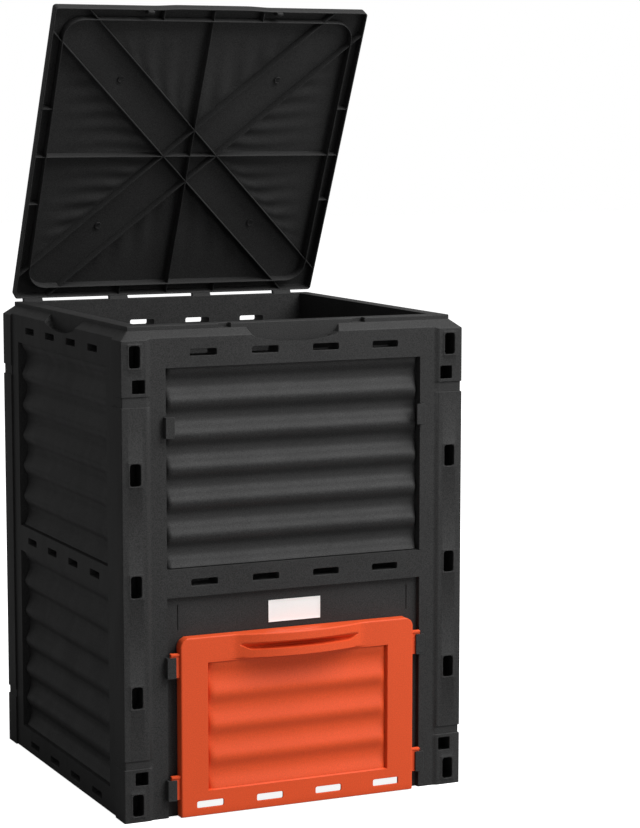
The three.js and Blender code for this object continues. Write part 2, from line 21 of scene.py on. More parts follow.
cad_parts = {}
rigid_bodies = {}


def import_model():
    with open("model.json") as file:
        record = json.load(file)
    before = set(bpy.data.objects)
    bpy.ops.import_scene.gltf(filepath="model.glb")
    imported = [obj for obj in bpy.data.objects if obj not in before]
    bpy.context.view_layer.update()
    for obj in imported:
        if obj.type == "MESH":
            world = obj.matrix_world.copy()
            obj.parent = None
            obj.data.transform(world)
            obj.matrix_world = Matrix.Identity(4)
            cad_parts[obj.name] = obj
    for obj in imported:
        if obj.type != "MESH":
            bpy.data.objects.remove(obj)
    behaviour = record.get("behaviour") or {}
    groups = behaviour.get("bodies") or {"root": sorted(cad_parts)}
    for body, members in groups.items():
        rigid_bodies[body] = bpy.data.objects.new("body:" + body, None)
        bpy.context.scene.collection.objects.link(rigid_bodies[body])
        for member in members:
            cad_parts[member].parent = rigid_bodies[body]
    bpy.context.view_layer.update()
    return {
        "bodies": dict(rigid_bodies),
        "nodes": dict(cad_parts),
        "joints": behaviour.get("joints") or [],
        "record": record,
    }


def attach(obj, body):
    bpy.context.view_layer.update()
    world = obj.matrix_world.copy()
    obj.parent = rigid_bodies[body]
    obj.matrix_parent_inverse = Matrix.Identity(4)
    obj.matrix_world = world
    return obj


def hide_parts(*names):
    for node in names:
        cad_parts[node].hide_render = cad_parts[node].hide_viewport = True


Array = NDArray[np.float64]
Flags = NDArray[np.bool_]
Indices = NDArray[np.int64]
Numbers = Sequence[float] | Array
Pair = tuple[float, float]
Triple = tuple[float, float, float]
DepthField = Callable[[Array, Array], Array]
Place = Callable[[Array], Array]
Closing = Callable[[bmesh.types.BMesh], None]
Socket = bpy.types.NodeSocket

LOG = logging.getLogger("compost_bin")
MILLIMETRE = 0.001
MERGE_DISTANCE = 0.002
CREASE_DEGREES = 40.0
# From the body's own middle to the frame's, along y
FRAME_SHIFT = 14.25
# Places along x and sizes that the walls, the lid and the door share
HINGES = (-252.0, -92.0, 68.0, 228.0)
CATCH_AT = 118.0
SLOT_HALF = (23.0, 5.65)
# Upper ends of the three pairs of door brackets, and their height
BRACKETS = (63.5, 263.0, 648.0)
BRACKET_HEIGHT = 34.0


# Shape arithmetic


def smooth(value: Array, start: float, end: float) -> Array:
    """Ramp from 0 at start to 1 at end that leaves and arrives level: 3t^2 - 2t^3."""
    t = np.clip((value - start) / (end - start), 0.0, 1.0)
    return t * t * (3.0 - 2.0 * t)


def soft_max(first: Array, second: Array, width: float) -> Array:
    """Larger of two fields, its crease rounded: half of their sum plus half of |(difference, width)|."""
    return 0.5 * (first + second + np.hypot(first - second, width))


def within(value: Array, low: float, high: float, soft: float) -> Array:
    """Mask that is 1 between low and high and ramps to 0 over soft inside both limits."""
    return np.minimum(smooth(value, low, low + soft), 1.0 - smooth(value, high - soft, high))


def lines(*groups: Numbers) -> Array:
    """Sorted grid lines from several groups, with lines closer than a hair merged."""
    joined = np.unique(np.round(np.concatenate([np.asarray(g, float).ravel() for g in groups]), 3))
    keep = np.concatenate([[True], np.diff(joined) > 0.12])
    return joined[keep]


def both(values: Numbers) -> Array:
    """Values and their negatives."""
    array = np.asarray(values, float)
    return np.concatenate([-array, array])


def ramp(run: float, count: int = 3) -> Array:
    """Evenly spaced places from 0 to the end of a run, for the grid lines of a soft step."""
    return np.linspace(0.0, run, count)


def quarter(count: int) -> Array:
    """Evenly spaced angles of a quarter turn."""
    return ramp(math.pi / 2.0, count)


# Mesh making


def fill_border(work: bmesh.types.BMesh, normal: Triple) -> None:
    """Fills a mesh's open borders with triangles that lie across a normal."""
    loops = [edge for edge in work.edges if edge.is_boundary]
    bmesh.ops.triangle_fill(work, edges=loops, use_beauty=False, use_dissolve=False, normal=normal)


def filled_level(work: bmesh.types.BMesh) -> None:
    """Closing step that fills the level gap between a mesh's open borders."""
    fill_border(work, (0.0, 0.0, 1.0))


@dataclass(frozen=True)
class ClosedAt:
    """Closing step that carries a mesh's open border straight back to the plane y = plane and fills it."""

    plane: float

    def __call__(self, work: bmesh.types.BMesh) -> None:
        """Closes a mesh under construction."""
        rim = [edge for edge in work.edges if edge.is_boundary]
        made = bmesh.ops.extrude_edge_only(work, edges=rim)["geom"]
        moved = [part for part in made if isinstance(part, bmesh.types.BMVert)]
        flatten = Matrix(((1, 0, 0, 0), (0, 0, 0, self.plane), (0, 0, 1, 0), (0, 0, 0, 1)))
        bmesh.ops.transform(work, matrix=flatten, verts=moved)
        fill_border(work, (0.0, 1.0, 0.0))


def added(name: str, data: bpy.types.ID) -> bpy.types.Object:
    """Makes an object of some data and links it to the scene."""
    made = bpy.data.objects.new(name, data)
    bpy.context.scene.collection.objects.link(made)
    return made


@dataclass
class PieceMesh:
    """Vertices and faces of one piece, gathered patch by patch in millimetres."""

    points: list[Array] = field(default_factory=list)
    quads: list[Indices] = field(default_factory=list)
    caps: list[list[int]] = field(default_factory=list)
    count: int = 0

    def add_points(self, points: Array) -> Indices:
        """Adds points of any grid shape and returns their numbers in the same shape."""
        flat = points.reshape(-1, 3)
        numbers = np.arange(len(flat)) + self.count
        self.points.append(flat)
        self.count += len(flat)
        return numbers.reshape(points.shape[:-1])

    def add_faces(self, numbers: Indices, keep: Flags | None = None) -> None:
        """Fills a grid of numbered points with quads, in the cells that keep names or in all."""
        quads = np.stack([numbers[:-1, :-1], numbers[1:, :-1], numbers[1:, 1:], numbers[:-1, 1:]], -1)
        self.quads.append(quads.reshape(-1, 4) if keep is None else quads[keep])

    def add_grid(self, points: Array, keep: Flags | None = None) -> None:
        """Adds a grid of points with its faces."""
        self.add_faces(self.add_points(points), keep)

    def add_loop(self, points: Array) -> None:
        """Adds one flat face round a loop of points."""
        self.caps.append(self.add_points(points).tolist())

    def add_tube(self, points: Array, closed: bool = False) -> None:
        """Adds a closed profile carried along a path, with a face at both ends.

        Args:
            points: Grid of (profile point, path point); the profile closes on itself.
            closed: Whether the path closes on itself too, with no end faces.
        """
        numbers = self.add_points(points)
        wrapped = np.concatenate([numbers, numbers[:1]], axis=0)
        if closed:
            wrapped = np.concatenate([wrapped, wrapped[:, :1]], axis=1)
        else:
            self.caps.extend([numbers[:, 0].tolist(), numbers[:, -1].tolist()])
        self.add_faces(wrapped)

    def join(self, other: "PieceMesh", place: Place) -> None:
        """Adds another mesh's faces and its points, carried through a placing function."""
        self.points.extend(place(points) for points in other.points)
        self.quads.extend(quads + self.count for quads in other.quads)
        self.caps.extend([number + self.count for number in cap] for cap in other.caps)
        self.count += other.count

    def build(self, name: str, place: Place, close: Closing | None = None) -> bpy.types.Object:
        """Makes the Blender object, in metres, closed, facing outwards and smoothly shaded.

        Args:
            name: Name of the object and its mesh.
            place: Carries the finished points to their place in the frame, in millimetres.
            close: Closes what the patches left open, before the points are carried.

        Returns:
            The finished object, standing at the origin.
        """
        faces = [quad for quads in self.quads for quad in quads.tolist()] + self.caps
        mesh = bpy.data.meshes.new(name)
        mesh.from_pydata(np.concatenate(self.points).tolist(), [], faces)
        work = bmesh.new()
        work.from_mesh(mesh)
        bmesh.ops.remove_doubles(work, verts=work.verts, dist=MERGE_DISTANCE)
        if close is not None:
            close(work)
        bmesh.ops.dissolve_degenerate(work, edges=work.edges, dist=MERGE_DISTANCE)
        loose = [vert for vert in work.verts if not vert.link_faces]
        bmesh.ops.delete(work, geom=loose, context="VERTS")
        bmesh.ops.recalc_face_normals(work, faces=work.faces)
        work.to_mesh(mesh)
        work.free()
        flat = np.empty(len(mesh.vertices) * 3, dtype=np.float32)
        mesh.vertices.foreach_get("co", flat)
        placed = place(flat.astype(float).reshape(-1, 3)) * MILLIMETRE
        mesh.vertices.foreach_set("co", placed.astype(np.float32).ravel())
        mesh.polygons.foreach_set("use_smooth", np.ones(len(mesh.polygons), dtype=bool))
        mesh.set_sharp_from_angle(angle=math.radians(CREASE_DEGREES))
        mesh.update()
        return added(name, mesh)


def shifted(points: Array) -> Array:
    """Carries points from the body's own middle to the frame's."""
    return points + np.array([0.0, FRAME_SHIFT, 0.0])


def block(mesh: PieceMesh, x: Pair, y: Pair, z: Pair, bevel: float) -> None:
    """Adds a box with bevelled edges, as a closed profile in (x, y) carried up z.

    Formula: an octagon, the rectangle with its corners cut by the bevel, drawn in by the bevel at
    the lowest and highest level.

    Args:
        mesh: Mesh that receives the box.
        x: Limits along x, in either order.
        y: Limits along y.
        z: Limits along z.
        bevel: Width of the bevels.
    """
    half = np.abs([x[1] - x[0], y[1] - y[0]]) / 2.0
    centre = np.array([x[1] + x[0], y[1] + y[0]]) / 2.0
    levels = np.array([z[0], z[0] + bevel, z[1] - bevel, z[1]])
    insets = np.array([bevel, 0.0, 0.0, bevel])
    signs = np.array([[1, -1], [1, -1], [1, 1], [1, 1], [-1, 1], [-1, 1], [-1, -1], [-1, -1]], float)
    cuts = np.array([[1, 0], [0, 1], [0, 1], [1, 0], [1, 0], [0, 1], [0, 1], [1, 0]], float)
    flat = signs[:, None, :] * (half - insets[None, :, None] - bevel * cuts[:, None, :])
    points = np.empty((len(signs), len(levels), 3))
    points[..., :2] = centre + flat
    points[..., 2] = levels
    mesh.add_tube(points)


def blocks(mesh: PieceMesh, x: Pair, y: Pair, z: Pair, bevel: float) -> None:
    """Adds a bevelled box and its mirror image on the other side of the middle."""
    for sign in (-1.0, 1.0):
        block(mesh, (sign * x[0], sign * x[1]), y, z, bevel)


def along_x(mesh: PieceMesh, outline: Array, x: Array, scale: Array) -> None:
    """Adds an outline of (y, z) points carried along x and scaled about its middle on the way.

    Args:
        mesh: Mesh that receives the bar.
        outline: Closed outline.
        x: Places along x.
        scale: The outline's scale at each place.
    """
    middle = outline.mean(axis=0)
    swollen = middle + (outline - middle)[:, None, :] * scale[None, :, None]
    places = np.broadcast_to(x[None, :, None], (*swollen.shape[:2], 1))
    mesh.add_tube(np.concatenate([places, swollen], -1))


# Reliefs


@dataclass(frozen=True)
class Opening:
    """A rounded rectangular opening in a relief, such as a slot or a window.

    Its sides run to the floor, which a blind opening has closed, or are left to the closing step
    where there is no floor. With a flare it widens behind the skin, so that it looks black.
    """

    x: float
    z: float
    half_x: float
    half_z: float
    round: float = 2.4
    floor: float | None = None
    blind: bool = True
    flare: float = 0.0
    skin: float = 3.0
    lip: float = 0.6
    support: float = 0.5
    turn: float = 0.35

    def x_lines(self) -> Array:
        """Grid lines that the opening needs across x."""
        return self.x + self.near(self.half_x)

    def z_lines(self) -> Array:
        """Grid lines that the opening needs up z."""
        return self.z + self.near(self.half_z)

    def near(self, half: float) -> Array:
        """Offsets of the lines at both edges of a half size: outside, at and round its corners."""
        reach, corner = half + self.lip, self.round + self.lip
        return both([reach + self.support, reach, reach - self.turn * corner, reach - corner])


@dataclass
class Relief:
    """A moulded face: a depth behind the plane y = face over a grid of (x, z).

    Openings leave out their cells, and so does a notch, the half width and height of a doorway
    that is open at the foot. An opening's border points slide onto rounded corners, and rings of
    points lead from there round a small lip and on to its floor, where it has one.
    """

    x: Array
    z: Array
    depth: DepthField
    face: float
    openings: Sequence[Opening] = ()
    notch: Pair | None = None

    def __post_init__(self) -> None:
        """Works out the grid, the depths and the cells to keep."""
        self.grid_x, self.grid_z = np.meshgrid(self.x, self.z, indexing="ij")
        self.inner_x, self.inner_z = self.grid_x.copy(), self.grid_z.copy()
        self.grid_depth = self.depth(self.grid_x, self.grid_z)
        self.keep: Flags = np.ones((len(self.x) - 1, len(self.z) - 1), bool)
        if self.notch is not None:
            beside = np.abs(self.x[:-1] + self.x[1:]) > 2.0 * self.notch[0]
            above = self.z[:-1] + self.z[1:] > 2.0 * self.notch[1]
            self.keep = beside[:, None] | above[None, :]

    def place(self, x: Array, z: Array, depth: Array) -> Array:
        """Point at x and z that lies depth behind the face."""
        return np.stack(np.broadcast_arrays(x, self.face + depth, z), -1)

    @property
    def points(self) -> Array:
        """All points of the grid."""
        return self.place(self.grid_x, self.grid_z, self.grid_depth)

    def border(self, low: Sequence[int], high: Sequence[int]) -> tuple[Indices, Indices]:
        """Grid numbers round a block of cells, back to the first one.

        Args:
            low: Numbers of the block's lowest x and z lines.
            high: Numbers of its highest lines.

        Returns:
            Numbers along x and along z.
        """
        (i0, j0), (i1, j1) = low, high
        across, up = i1 - i0, j1 - j0
        i = [np.arange(i0, i1), np.full(up, i1), np.arange(i1, i0, -1), np.full(up + 1, i0)]
        j = [np.full(across, j0), np.arange(j0, j1), np.full(across, j1), np.arange(j1, j0 - 1, -1)]
        return np.concatenate(i), np.concatenate(j)

    def nearest(self, x: float, z: float) -> tuple[int, int]:
        """Numbers of the grid lines nearest to x and z."""
        return int(np.argmin(np.abs(self.x - x))), int(np.argmin(np.abs(self.z - z)))

    def cut(self, mesh: PieceMesh, hole: Opening) -> None:
        """Leaves out an opening's cells and builds its lip and sides.

        Formula: a border point in a corner zone moves onto the arc about the corner's centre. The
        rings follow a quarter circle inwards, each the border drawn in and set deeper, and behind
        the skin of a flared opening they step outwards again.

        Args:
            mesh: Mesh that receives the lip.
            hole: The opening.
        """
        middle = np.array([hole.x, hole.z])
        half = np.array([hole.half_x, hole.half_z]) + hole.lip
        corner = hole.round + hole.lip
        low, high = self.nearest(*(middle - half)), self.nearest(*(middle + half))
        self.keep[low[0]:high[0], low[1]:high[1]] = False
        i, j = self.border(low, high)
        offset = np.stack([self.grid_x[i, j], self.grid_z[i, j]], -1) - middle
        centre = np.sign(offset) * (half - corner)
        arm = offset - centre
        in_corner = np.all(np.abs(offset) > half - corner + 1e-6, axis=-1)
        length = np.maximum(np.linalg.norm(arm, axis=-1), 1e-9)
        rounded = centre + arm * (corner / length)[:, None]
        offset = np.where(in_corner[:, None], rounded, offset)
        self.grid_x[i, j], self.grid_z[i, j] = (middle + offset).T
        angle = quarter(4)
        start = self.grid_depth[i, j][:, None]
        ring = offset[:, None, :] * (1.0 - hole.lip * np.sin(angle)[None, :, None] / half)
        depths = start + hole.lip * (1.0 - np.cos(angle))
        if hole.floor is not None:
            mouth = ring[:, -1:]
            rows, levels = [mouth], [hole.floor]
            if hole.flare:
                wide = mouth * (1.0 + hole.flare / half)
                rows, levels = [mouth, wide, wide], [hole.skin, hole.skin + hole.support, hole.floor]
            ring = np.concatenate([ring, *rows], 1)
            depths = np.concatenate([depths, *(np.full_like(start, level) for level in levels)], 1)
        points = self.place(hole.x + ring[..., 0], hole.z + ring[..., 1], depths)
        mesh.add_grid(points)
        self.inner_x[i, j], self.inner_z[i, j] = points[:, -1, 0], points[:, -1, 2]
        if hole.floor is not None and hole.blind:
            mesh.add_loop(points[:-1, -1])

    def build(self, mesh: PieceMesh) -> None:
        """Adds the face with its openings."""
        for hole in self.openings:
            self.cut(mesh, hole)
        mesh.add_grid(self.points, self.keep)


@dataclass(frozen=True)
class Waves:
    """Level waves that fill a sunk field, each a crest with a hollow below it.

    Levels are the depths at breaks, which lie at drops below one crest and rises over the next.
    The waves end in noses, and a ledge at one depth lies beyond them.
    """

    bottom: float
    top: float
    count: int
    half: float
    ledge: float
    drops: tuple[float, ...]
    rises: tuple[float, ...]
    levels: tuple[float, ...]
    nose_gap: float = 2.5
    nose_run: float = 9.0
    blur: float = 3.6
    per_pitch: int = 34

    @property
    def pitch(self) -> float:
        """Distance from one crest to the next."""
        return (self.top - self.bottom) / self.count

    def profile(self, below: Array) -> Array:
        """Depth at a distance below the top crest.

        Formula: a polygon from crest to crest through the levels at the breaks, averaged over a
        short window so that its corners are round.

        Args:
            below: Distance below the field's top edge.

        Returns:
            Depth behind the relief's plane.
        """
        breaks = np.array([*self.drops, *(self.pitch - rise for rise in self.rises)])
        total = np.zeros_like(below)
        window = np.linspace(-self.blur, self.blur, 9)
        for offset in window:
            total += np.interp(below + offset, breaks, self.levels, period=self.pitch)
        return total / len(window)

    def depth(self, x: Array, z: Array) -> Array:
        """Depth of the field with the waves' ends.

        Formula: the ledge's depth less the wave's height over it, times the root of one less the
        square of the share of the end run.

        Args:
            x: Places along the field.
            z: Heights.

        Returns:
            Depth behind the relief's plane.
        """
        over = np.clip((np.abs(x) - self.half + self.nose_gap + self.nose_run) / self.nose_run, 0.0, 1.0)
        return self.ledge - (self.ledge - self.profile(self.top - z)) * np.sqrt(1.0 - over**2)

    def x_lines(self) -> Array:
        """Grid lines along the field, close together at the waves' ends."""
        ends = self.half - self.nose_gap - self.nose_run * (1.0 - np.sin(quarter(13)))
        return lines(np.linspace(20.0 - self.half, self.half - 20.0, 9), both(ends))

    def z_lines(self) -> Array:
        """Grid lines up the field."""
        return np.linspace(self.bottom, self.top, self.count * self.per_pitch + 1)


# Walls


class Side(Enum):
    """A wall's place round the bin, as quarter turns anticlockwise from the front."""

    FRONT = 0
    RIGHT = 1
    BACK = 2
    LEFT = 3


@dataclass
class Wall:
    """One moulded wall of the bin with everything that is part of it.

    Levels are heights over the ground, and depths lie behind the wall's outer plane.
    """

    side: Side
    palette: "Palette"
    half: float = 300.0
    thickness: float = 43.0
    seam: float = 0.3
    shoulder: float = 770.0
    joint_level: float = 769.0
    collar_base: float = 784.0
    collar_inset: float = 16.5
    top: float = 791.3
    rim_round: float = 1.2
    crease: float = 0.4
    edge: float = 0.6
    rail: float = 3.0
    rail_gap: float = 2.0
    strip: float = 2.0
    band_edge: float = 248.4
    field_half: float = 224.0
    field_run: float = 1.4
    upper_row: Pair = (402.5, 725.0)
    lower_row: Pair = (42.0, 357.7)
    flat_foot: float = -50.0
    flat_depth: float = 11.0
    gap_height: float = 2.4
    gap_depth: float = 4.0
    gap_soft: float = 0.8
    slot_levels: Triple = (748.0, 380.1, 16.3)
    slot_places: tuple[float, ...] = (-159.9, -53.3, 53.3, 159.9)
    doorway: Pair = (204.0, 252.0)
    track_up: Pair = (303.0, 345.0)
    track_across: Pair = (202.6, 204.4)
    track_depth: float = 1.6
    track_soft: float = 0.4
    scoop_half: float = 75.0
    scoop_low: float = 760.3
    scoop_rise: float = 10.4
    scoop_power: float = 2.6
    scoop_climb: float = 1.8
    scoop_lip: float = 1.4
    undercut_end: Pair = (62.0, 76.0)
    undercut_depth: float = 4.5
    undercut_height: float = 5.5
    notch_half: float = 18.5
    notch_level: float = 780.0
    notch_depth: float = 38.0
    notch_rise: float = 0.8
    pocket_half: float = 11.0
    pocket_level: float = 784.0
    pocket_depth: float = 12.0
    pocket_rise: float = 0.7
    pad_start: float = 249.0
    pad_end: float = 259.0
    pad_grooves: tuple[Pair, ...] = ((85.6, 100.2), (664.1, 681.9))
    groove_run: float = 1.0
    groove_share: float = 0.6
    corner_round: float = 2.0
    hole_depth: float = 36.0
    hole_flare: float = 3.0
    window_levels: tuple[float, ...] = (27.3, 201.8, 380.1, 558.4, 744.5)
    window_at: float = 277.0
    window_half: Pair = (9.2, 17.7)
    window_round: float = 4.2
    frame_reach: float = 2.8
    frame_run: float = 0.8
    frame_height: float = 0.45
    peg_levels: Pair = (70.0, 697.3)
    peg_at: float = 270.5
    peg_half: Pair = (10.75, 10.75)
    peg_round: float = 1.2
    plate_across: Pair = (213.3, 228.5)
    plate_reach: Pair = (-308.0, -305.0)
    web_across: Pair = (225.0, 228.4)
    web_reach: Pair = (-305.6, -296.2)
    web_inset: float = 0.1

    @property
    def name(self) -> str:
        """Name of the CAD node that this wall stands for."""
        return f"{self.side.name.lower()}_wall"

    @property
    def has_posts(self) -> bool:
        """Whether the wall carries two corner posts."""
        return self.side in (Side.FRONT, Side.BACK)

    @property
    def is_front(self) -> bool:
        """Whether this is the wall with the doorway."""
        return self.side is Side.FRONT

    @property
    def span(self) -> float:
        """Half width of the middle relief."""
        return self.band_edge if self.has_posts else self.half - self.thickness - self.seam

    @property
    def rows(self) -> list[tuple[float, float, Waves | None]]:
        """Sunk fields from the top down as bottom, top and waves; the front's lower one is flat."""
        if self.is_front:
            return [(*self.upper_row, self.waves(*self.upper_row)), (self.flat_foot, self.lower_row[1], None)]
        return [(low, high, self.waves(low, high)) for low, high in (self.upper_row, self.lower_row)]

    def waves(self, bottom: float, top: float) -> Waves:
        """Six waves of a field: a steep underside and a shelf that rises to the next crest."""
        return Waves(bottom, top, count=6, half=self.field_half, ledge=17.5,
                     drops=(0.0, 4.0, 11.0, 17.0, 22.0), rises=(21.5, 16.0, 8.0, 2.5, 0.0),
                     levels=(6.5, 7.0, 10.2, 15.3, 17.0, 16.9, 13.6, 10.6, 7.2, 6.5))

    def turned(self, points: Array) -> Array:
        """Turns points from the wall's own frame to its side of the bin, and shifts them to the frame."""
        angle = self.side.value * math.pi / 2.0
        cosine, sine = round(math.cos(angle)), round(math.sin(angle))
        x, y, z = points[..., 0], points[..., 1], points[..., 2]
        return shifted(np.stack([cosine * x - sine * y, sine * x + cosine * y, z], -1))

    def inset(self, z: Array) -> Array:
        """Inset of the shoulder and collar at a height; negative below the shoulder.

        Formula: linear from the shoulder to the collar, then upright, and near the rim the radius
        minus the root of radius squared less the square of the height into the rounding.

        Args:
            z: Heights.

        Returns:
            Distance behind the wall's outer plane.
        """
        slope = (z - self.shoulder) * self.collar_inset / (self.collar_base - self.shoulder)
        into = np.clip(z - (self.top - self.rim_round), 0.0, self.rim_round)
        bent = self.rim_round - np.sqrt(self.rim_round**2 - into**2)
        return np.minimum(slope, self.collar_inset) + bent

    def over_scoop(self, x: Array, z: Array) -> Array:
        """Height over the finger scoop's curved lower edge, negative below it.

        Formula: the edge's height is its lowest one plus the rise times a power of the share of
        the half width, and it climbs steeply beyond both ends.

        Args:
            x: Places along the wall.
            z: Heights.

        Returns:
            The height over the edge.
        """
        share = np.minimum(np.abs(x) / self.scoop_half, 1.0)
        beyond = np.maximum(np.abs(x) - self.scoop_half, 0.0)
        return z - self.scoop_low - self.scoop_rise * share**self.scoop_power - self.scoop_climb * beyond

    def undercut(self, x: Array, z: Array) -> Array:
        """How far the scoop's floor dips behind its lower edge: a low bell over the edge."""
        over = self.over_scoop(x, z)
        inside = self.undercut_depth * (1.0 - smooth(np.abs(x), *self.undercut_end))
        return inside * smooth(over, 0.0, self.scoop_lip) * np.exp(-((over / self.undercut_height) ** 2))

    def hinge_notch(self, x: Array, z: Array) -> Array:
        """Depth of the back collar's hinge notches, zero elsewhere."""
        rise = smooth(z, self.notch_level, self.notch_level + self.notch_rise)
        cuts = [within(x, -at - self.notch_half, -at + self.notch_half, self.edge) for at in HINGES]
        return self.notch_depth * rise * np.max(cuts, axis=0)

    def front_cuts(self, x: Array, z: Array) -> Array:
        """Added depth of the front's pockets for the catches and of the grooves beside the plate."""
        near = within(np.abs(x), CATCH_AT - self.pocket_half, CATCH_AT + self.pocket_half, self.edge)
        pocket = near * smooth(z, self.pocket_level, self.pocket_level + self.pocket_rise)
        beside = within(np.abs(x), *self.track_across, self.track_soft)
        track = np.minimum(beside, within(z, *self.track_up, self.edge))
        return self.pocket_depth * pocket + self.track_depth * track

    def depth(self, x: Array, z: Array) -> Array:
        """Depth of the middle relief behind the wall's outer plane.

        Formula: rails at one level, fields sunk behind them with a shadow gap at the foot of their
        waves, and the largest of that, the shoulder's inset, the scoop and the collar's notches.
        The front has its own cuts on top.

        Args:
            x: Places along the wall.
            z: Heights.

        Returns:
            The depth at each place.
        """
        result = np.full_like(x, self.rail)
        across = within(x, -self.field_half, self.field_half, self.field_run)
        for low, high, waves in self.rows:
            mask = np.minimum(across, within(z, low, high, self.field_run))
            floor = self.flat_depth if waves is None else waves.depth(x, np.clip(z, low, high))
            result = result + (floor - self.rail) * mask
            if waves is not None:
                gap = within(z, low, low + self.gap_height, self.gap_soft)
                result = result + self.gap_depth * across * gap
        result = soft_max(result, self.inset(z), self.crease)
        if self.side is Side.BACK:
            return np.maximum(result, self.hinge_notch(x, z))
        scoop = self.collar_inset * smooth(self.over_scoop(x, z), 0.0, self.scoop_lip)
        result = np.maximum(result, scoop)
        return result + self.front_cuts(x, z) if self.is_front else result

    def slots(self, level: float) -> list[Opening]:
        """Vent slots of one rail."""
        return [Opening(x, level, *SLOT_HALF) for x in self.slot_places]

    def windows(self) -> list[Opening]:
        """Corner windows of the right-hand post, which have a raised frame."""
        return [Opening(self.window_at, z, *self.window_half, self.window_round, self.hole_depth,
                        flare=self.hole_flare) for z in self.window_levels]

    def pegs(self) -> list[Opening]:
        """Square peg holes of the right-hand post."""
        return [Opening(self.peg_at, z, *self.peg_half, self.peg_round, self.hole_depth,
                        flare=self.hole_flare) for z in self.peg_levels]

    def upper_lines(self) -> Array:
        """Grid lines up the shoulder, collar and rim, the same in every part of one wall."""
        rim = self.top - self.rim_round * (1.0 - np.sin(quarter(4)))
        slope = np.linspace(self.joint_level, self.collar_base, 21)
        groups = [slope, rim, self.collar_base + np.array([-0.3, 0.3, 2.5, 4.5])]
        if self.is_front:
            groups.append(self.pocket_level + ramp(self.pocket_rise))
        if self.side is Side.BACK:
            groups.append(self.notch_level + ramp(self.notch_rise))
        return lines(*groups)

    def stacked(self, *groups: Numbers) -> Array:
        """Lines up to the shoulder from several groups, followed by the shoulder's own lines."""
        lower = lines(*groups)
        return np.concatenate([lower[lower < self.joint_level - 0.4], self.upper_lines()])

    def relief(self, x: Array, z: Array, openings: Sequence[Opening] = (),
               notch: Pair | None = None) -> Relief:
        """Part of the middle relief over some grid lines."""
        inside = x[np.abs(x) < self.span - 0.2]
        x = np.concatenate([[-self.span], inside, [self.span]])
        return Relief(x, z, self.depth, -self.half, openings, notch)

    def rail_relief(self, low: float, high: float, level: float) -> Relief:
        """Relief of a rail with its slots between two heights."""
        slots = self.slots(level)
        x = lines(*(hole.x_lines() for hole in slots))
        z = slots[0].z_lines()
        return self.relief(x, lines([low, high], z[(z > low) & (z < high)]), slots)

    def top_relief(self, low: float) -> Relief:
        """Relief of the top rail with the shoulder, collar, scoop, pockets and notches.

        Args:
            low: Lowest height of the relief.

        Returns:
            The relief.
        """
        slots = self.slots(self.slot_levels[0])
        x_groups = [hole.x_lines() for hole in slots]
        z_groups = [[low], slots[0].z_lines()]
        if self.side is Side.BACK:
            x_groups.extend(-at + both(self.notch_half - ramp(self.edge)) for at in HINGES)
            return self.relief(lines(*x_groups), self.stacked(*z_groups), slots)
        x_groups.append(both(np.concatenate([np.linspace(5.0, 72.0, 16), np.linspace(73.0, 84.0, 23)])))
        z_groups.append(np.linspace(759.0, 768.5, 20))
        if self.is_front:
            x_groups.extend(at + both(self.pocket_half - ramp(self.edge)) for at in (-CATCH_AT, CATCH_AT))
        relief = self.relief(lines(*x_groups), self.stacked(*z_groups), slots)
        relief.grid_z = relief.grid_z - self.undercut(relief.grid_x, relief.grid_z)
        return relief

    def field_relief(self, low: float, high: float, waves: Waves | None) -> Relief:
        """Relief of a sunk field and the edges of the rails round it.

        Args:
            low: Lowest height of the relief.
            high: Highest height.
            waves: The field's waves, or none for the front's flat field with the doorway.

        Returns:
            The relief.
        """
        run = ramp(self.field_run, 5)
        x_groups = [both(self.field_half - run), both([self.field_half + 0.5])]
        if waves is None:
            start, end = self.track_up
            x_groups.append(both([self.track_across[0], 203.0, self.doorway[0], self.track_across[1]]))
            track = [start, start + self.edge, end - self.edge, end]
            field_top = self.lower_row[1]
            z = lines([low, self.doorway[1], field_top + 0.5, high], track, field_top - run)
            return self.relief(lines(*x_groups), z, (), self.doorway)
        gap = [ramp(self.gap_soft), self.gap_height - ramp(self.gap_soft)]
        ends = [waves.bottom + run, waves.top - run, [waves.bottom - 0.5, waves.top + 0.5]]
        z = lines([low, high], waves.z_lines(), *ends, waves.bottom + np.concatenate(gap))
        return self.relief(lines(*x_groups, waves.x_lines()), z)

    def middle(self) -> list[Relief]:
        """Reliefs between the posts or wall ends, from the foot up, a strip apart in the rails."""
        gap, strip = self.rail_gap, self.strip
        (upper_low, upper_high, upper_waves), (lower_low, lower_high, lower_waves) = self.rows
        foot = 0.0 if self.is_front else lower_low - gap
        parts = [self.field_relief(foot, lower_high + gap, lower_waves),
                 self.rail_relief(lower_high + gap + strip, upper_low - gap - strip, self.slot_levels[1]),
                 self.field_relief(upper_low - gap, upper_high + gap, upper_waves),
                 self.top_relief(upper_high + gap + strip)]
        if not self.is_front:
            parts.insert(0, self.rail_relief(0.0, foot - strip, self.slot_levels[2]))
        return parts

    def pad_groove(self, z: Array) -> Array:
        """Share of the rail's depth that the grooves between the corner pads are let down."""
        masks = [within(z, low, high, self.groove_run) for low, high in self.pad_grooves]
        return self.groove_share * np.maximum(*masks)

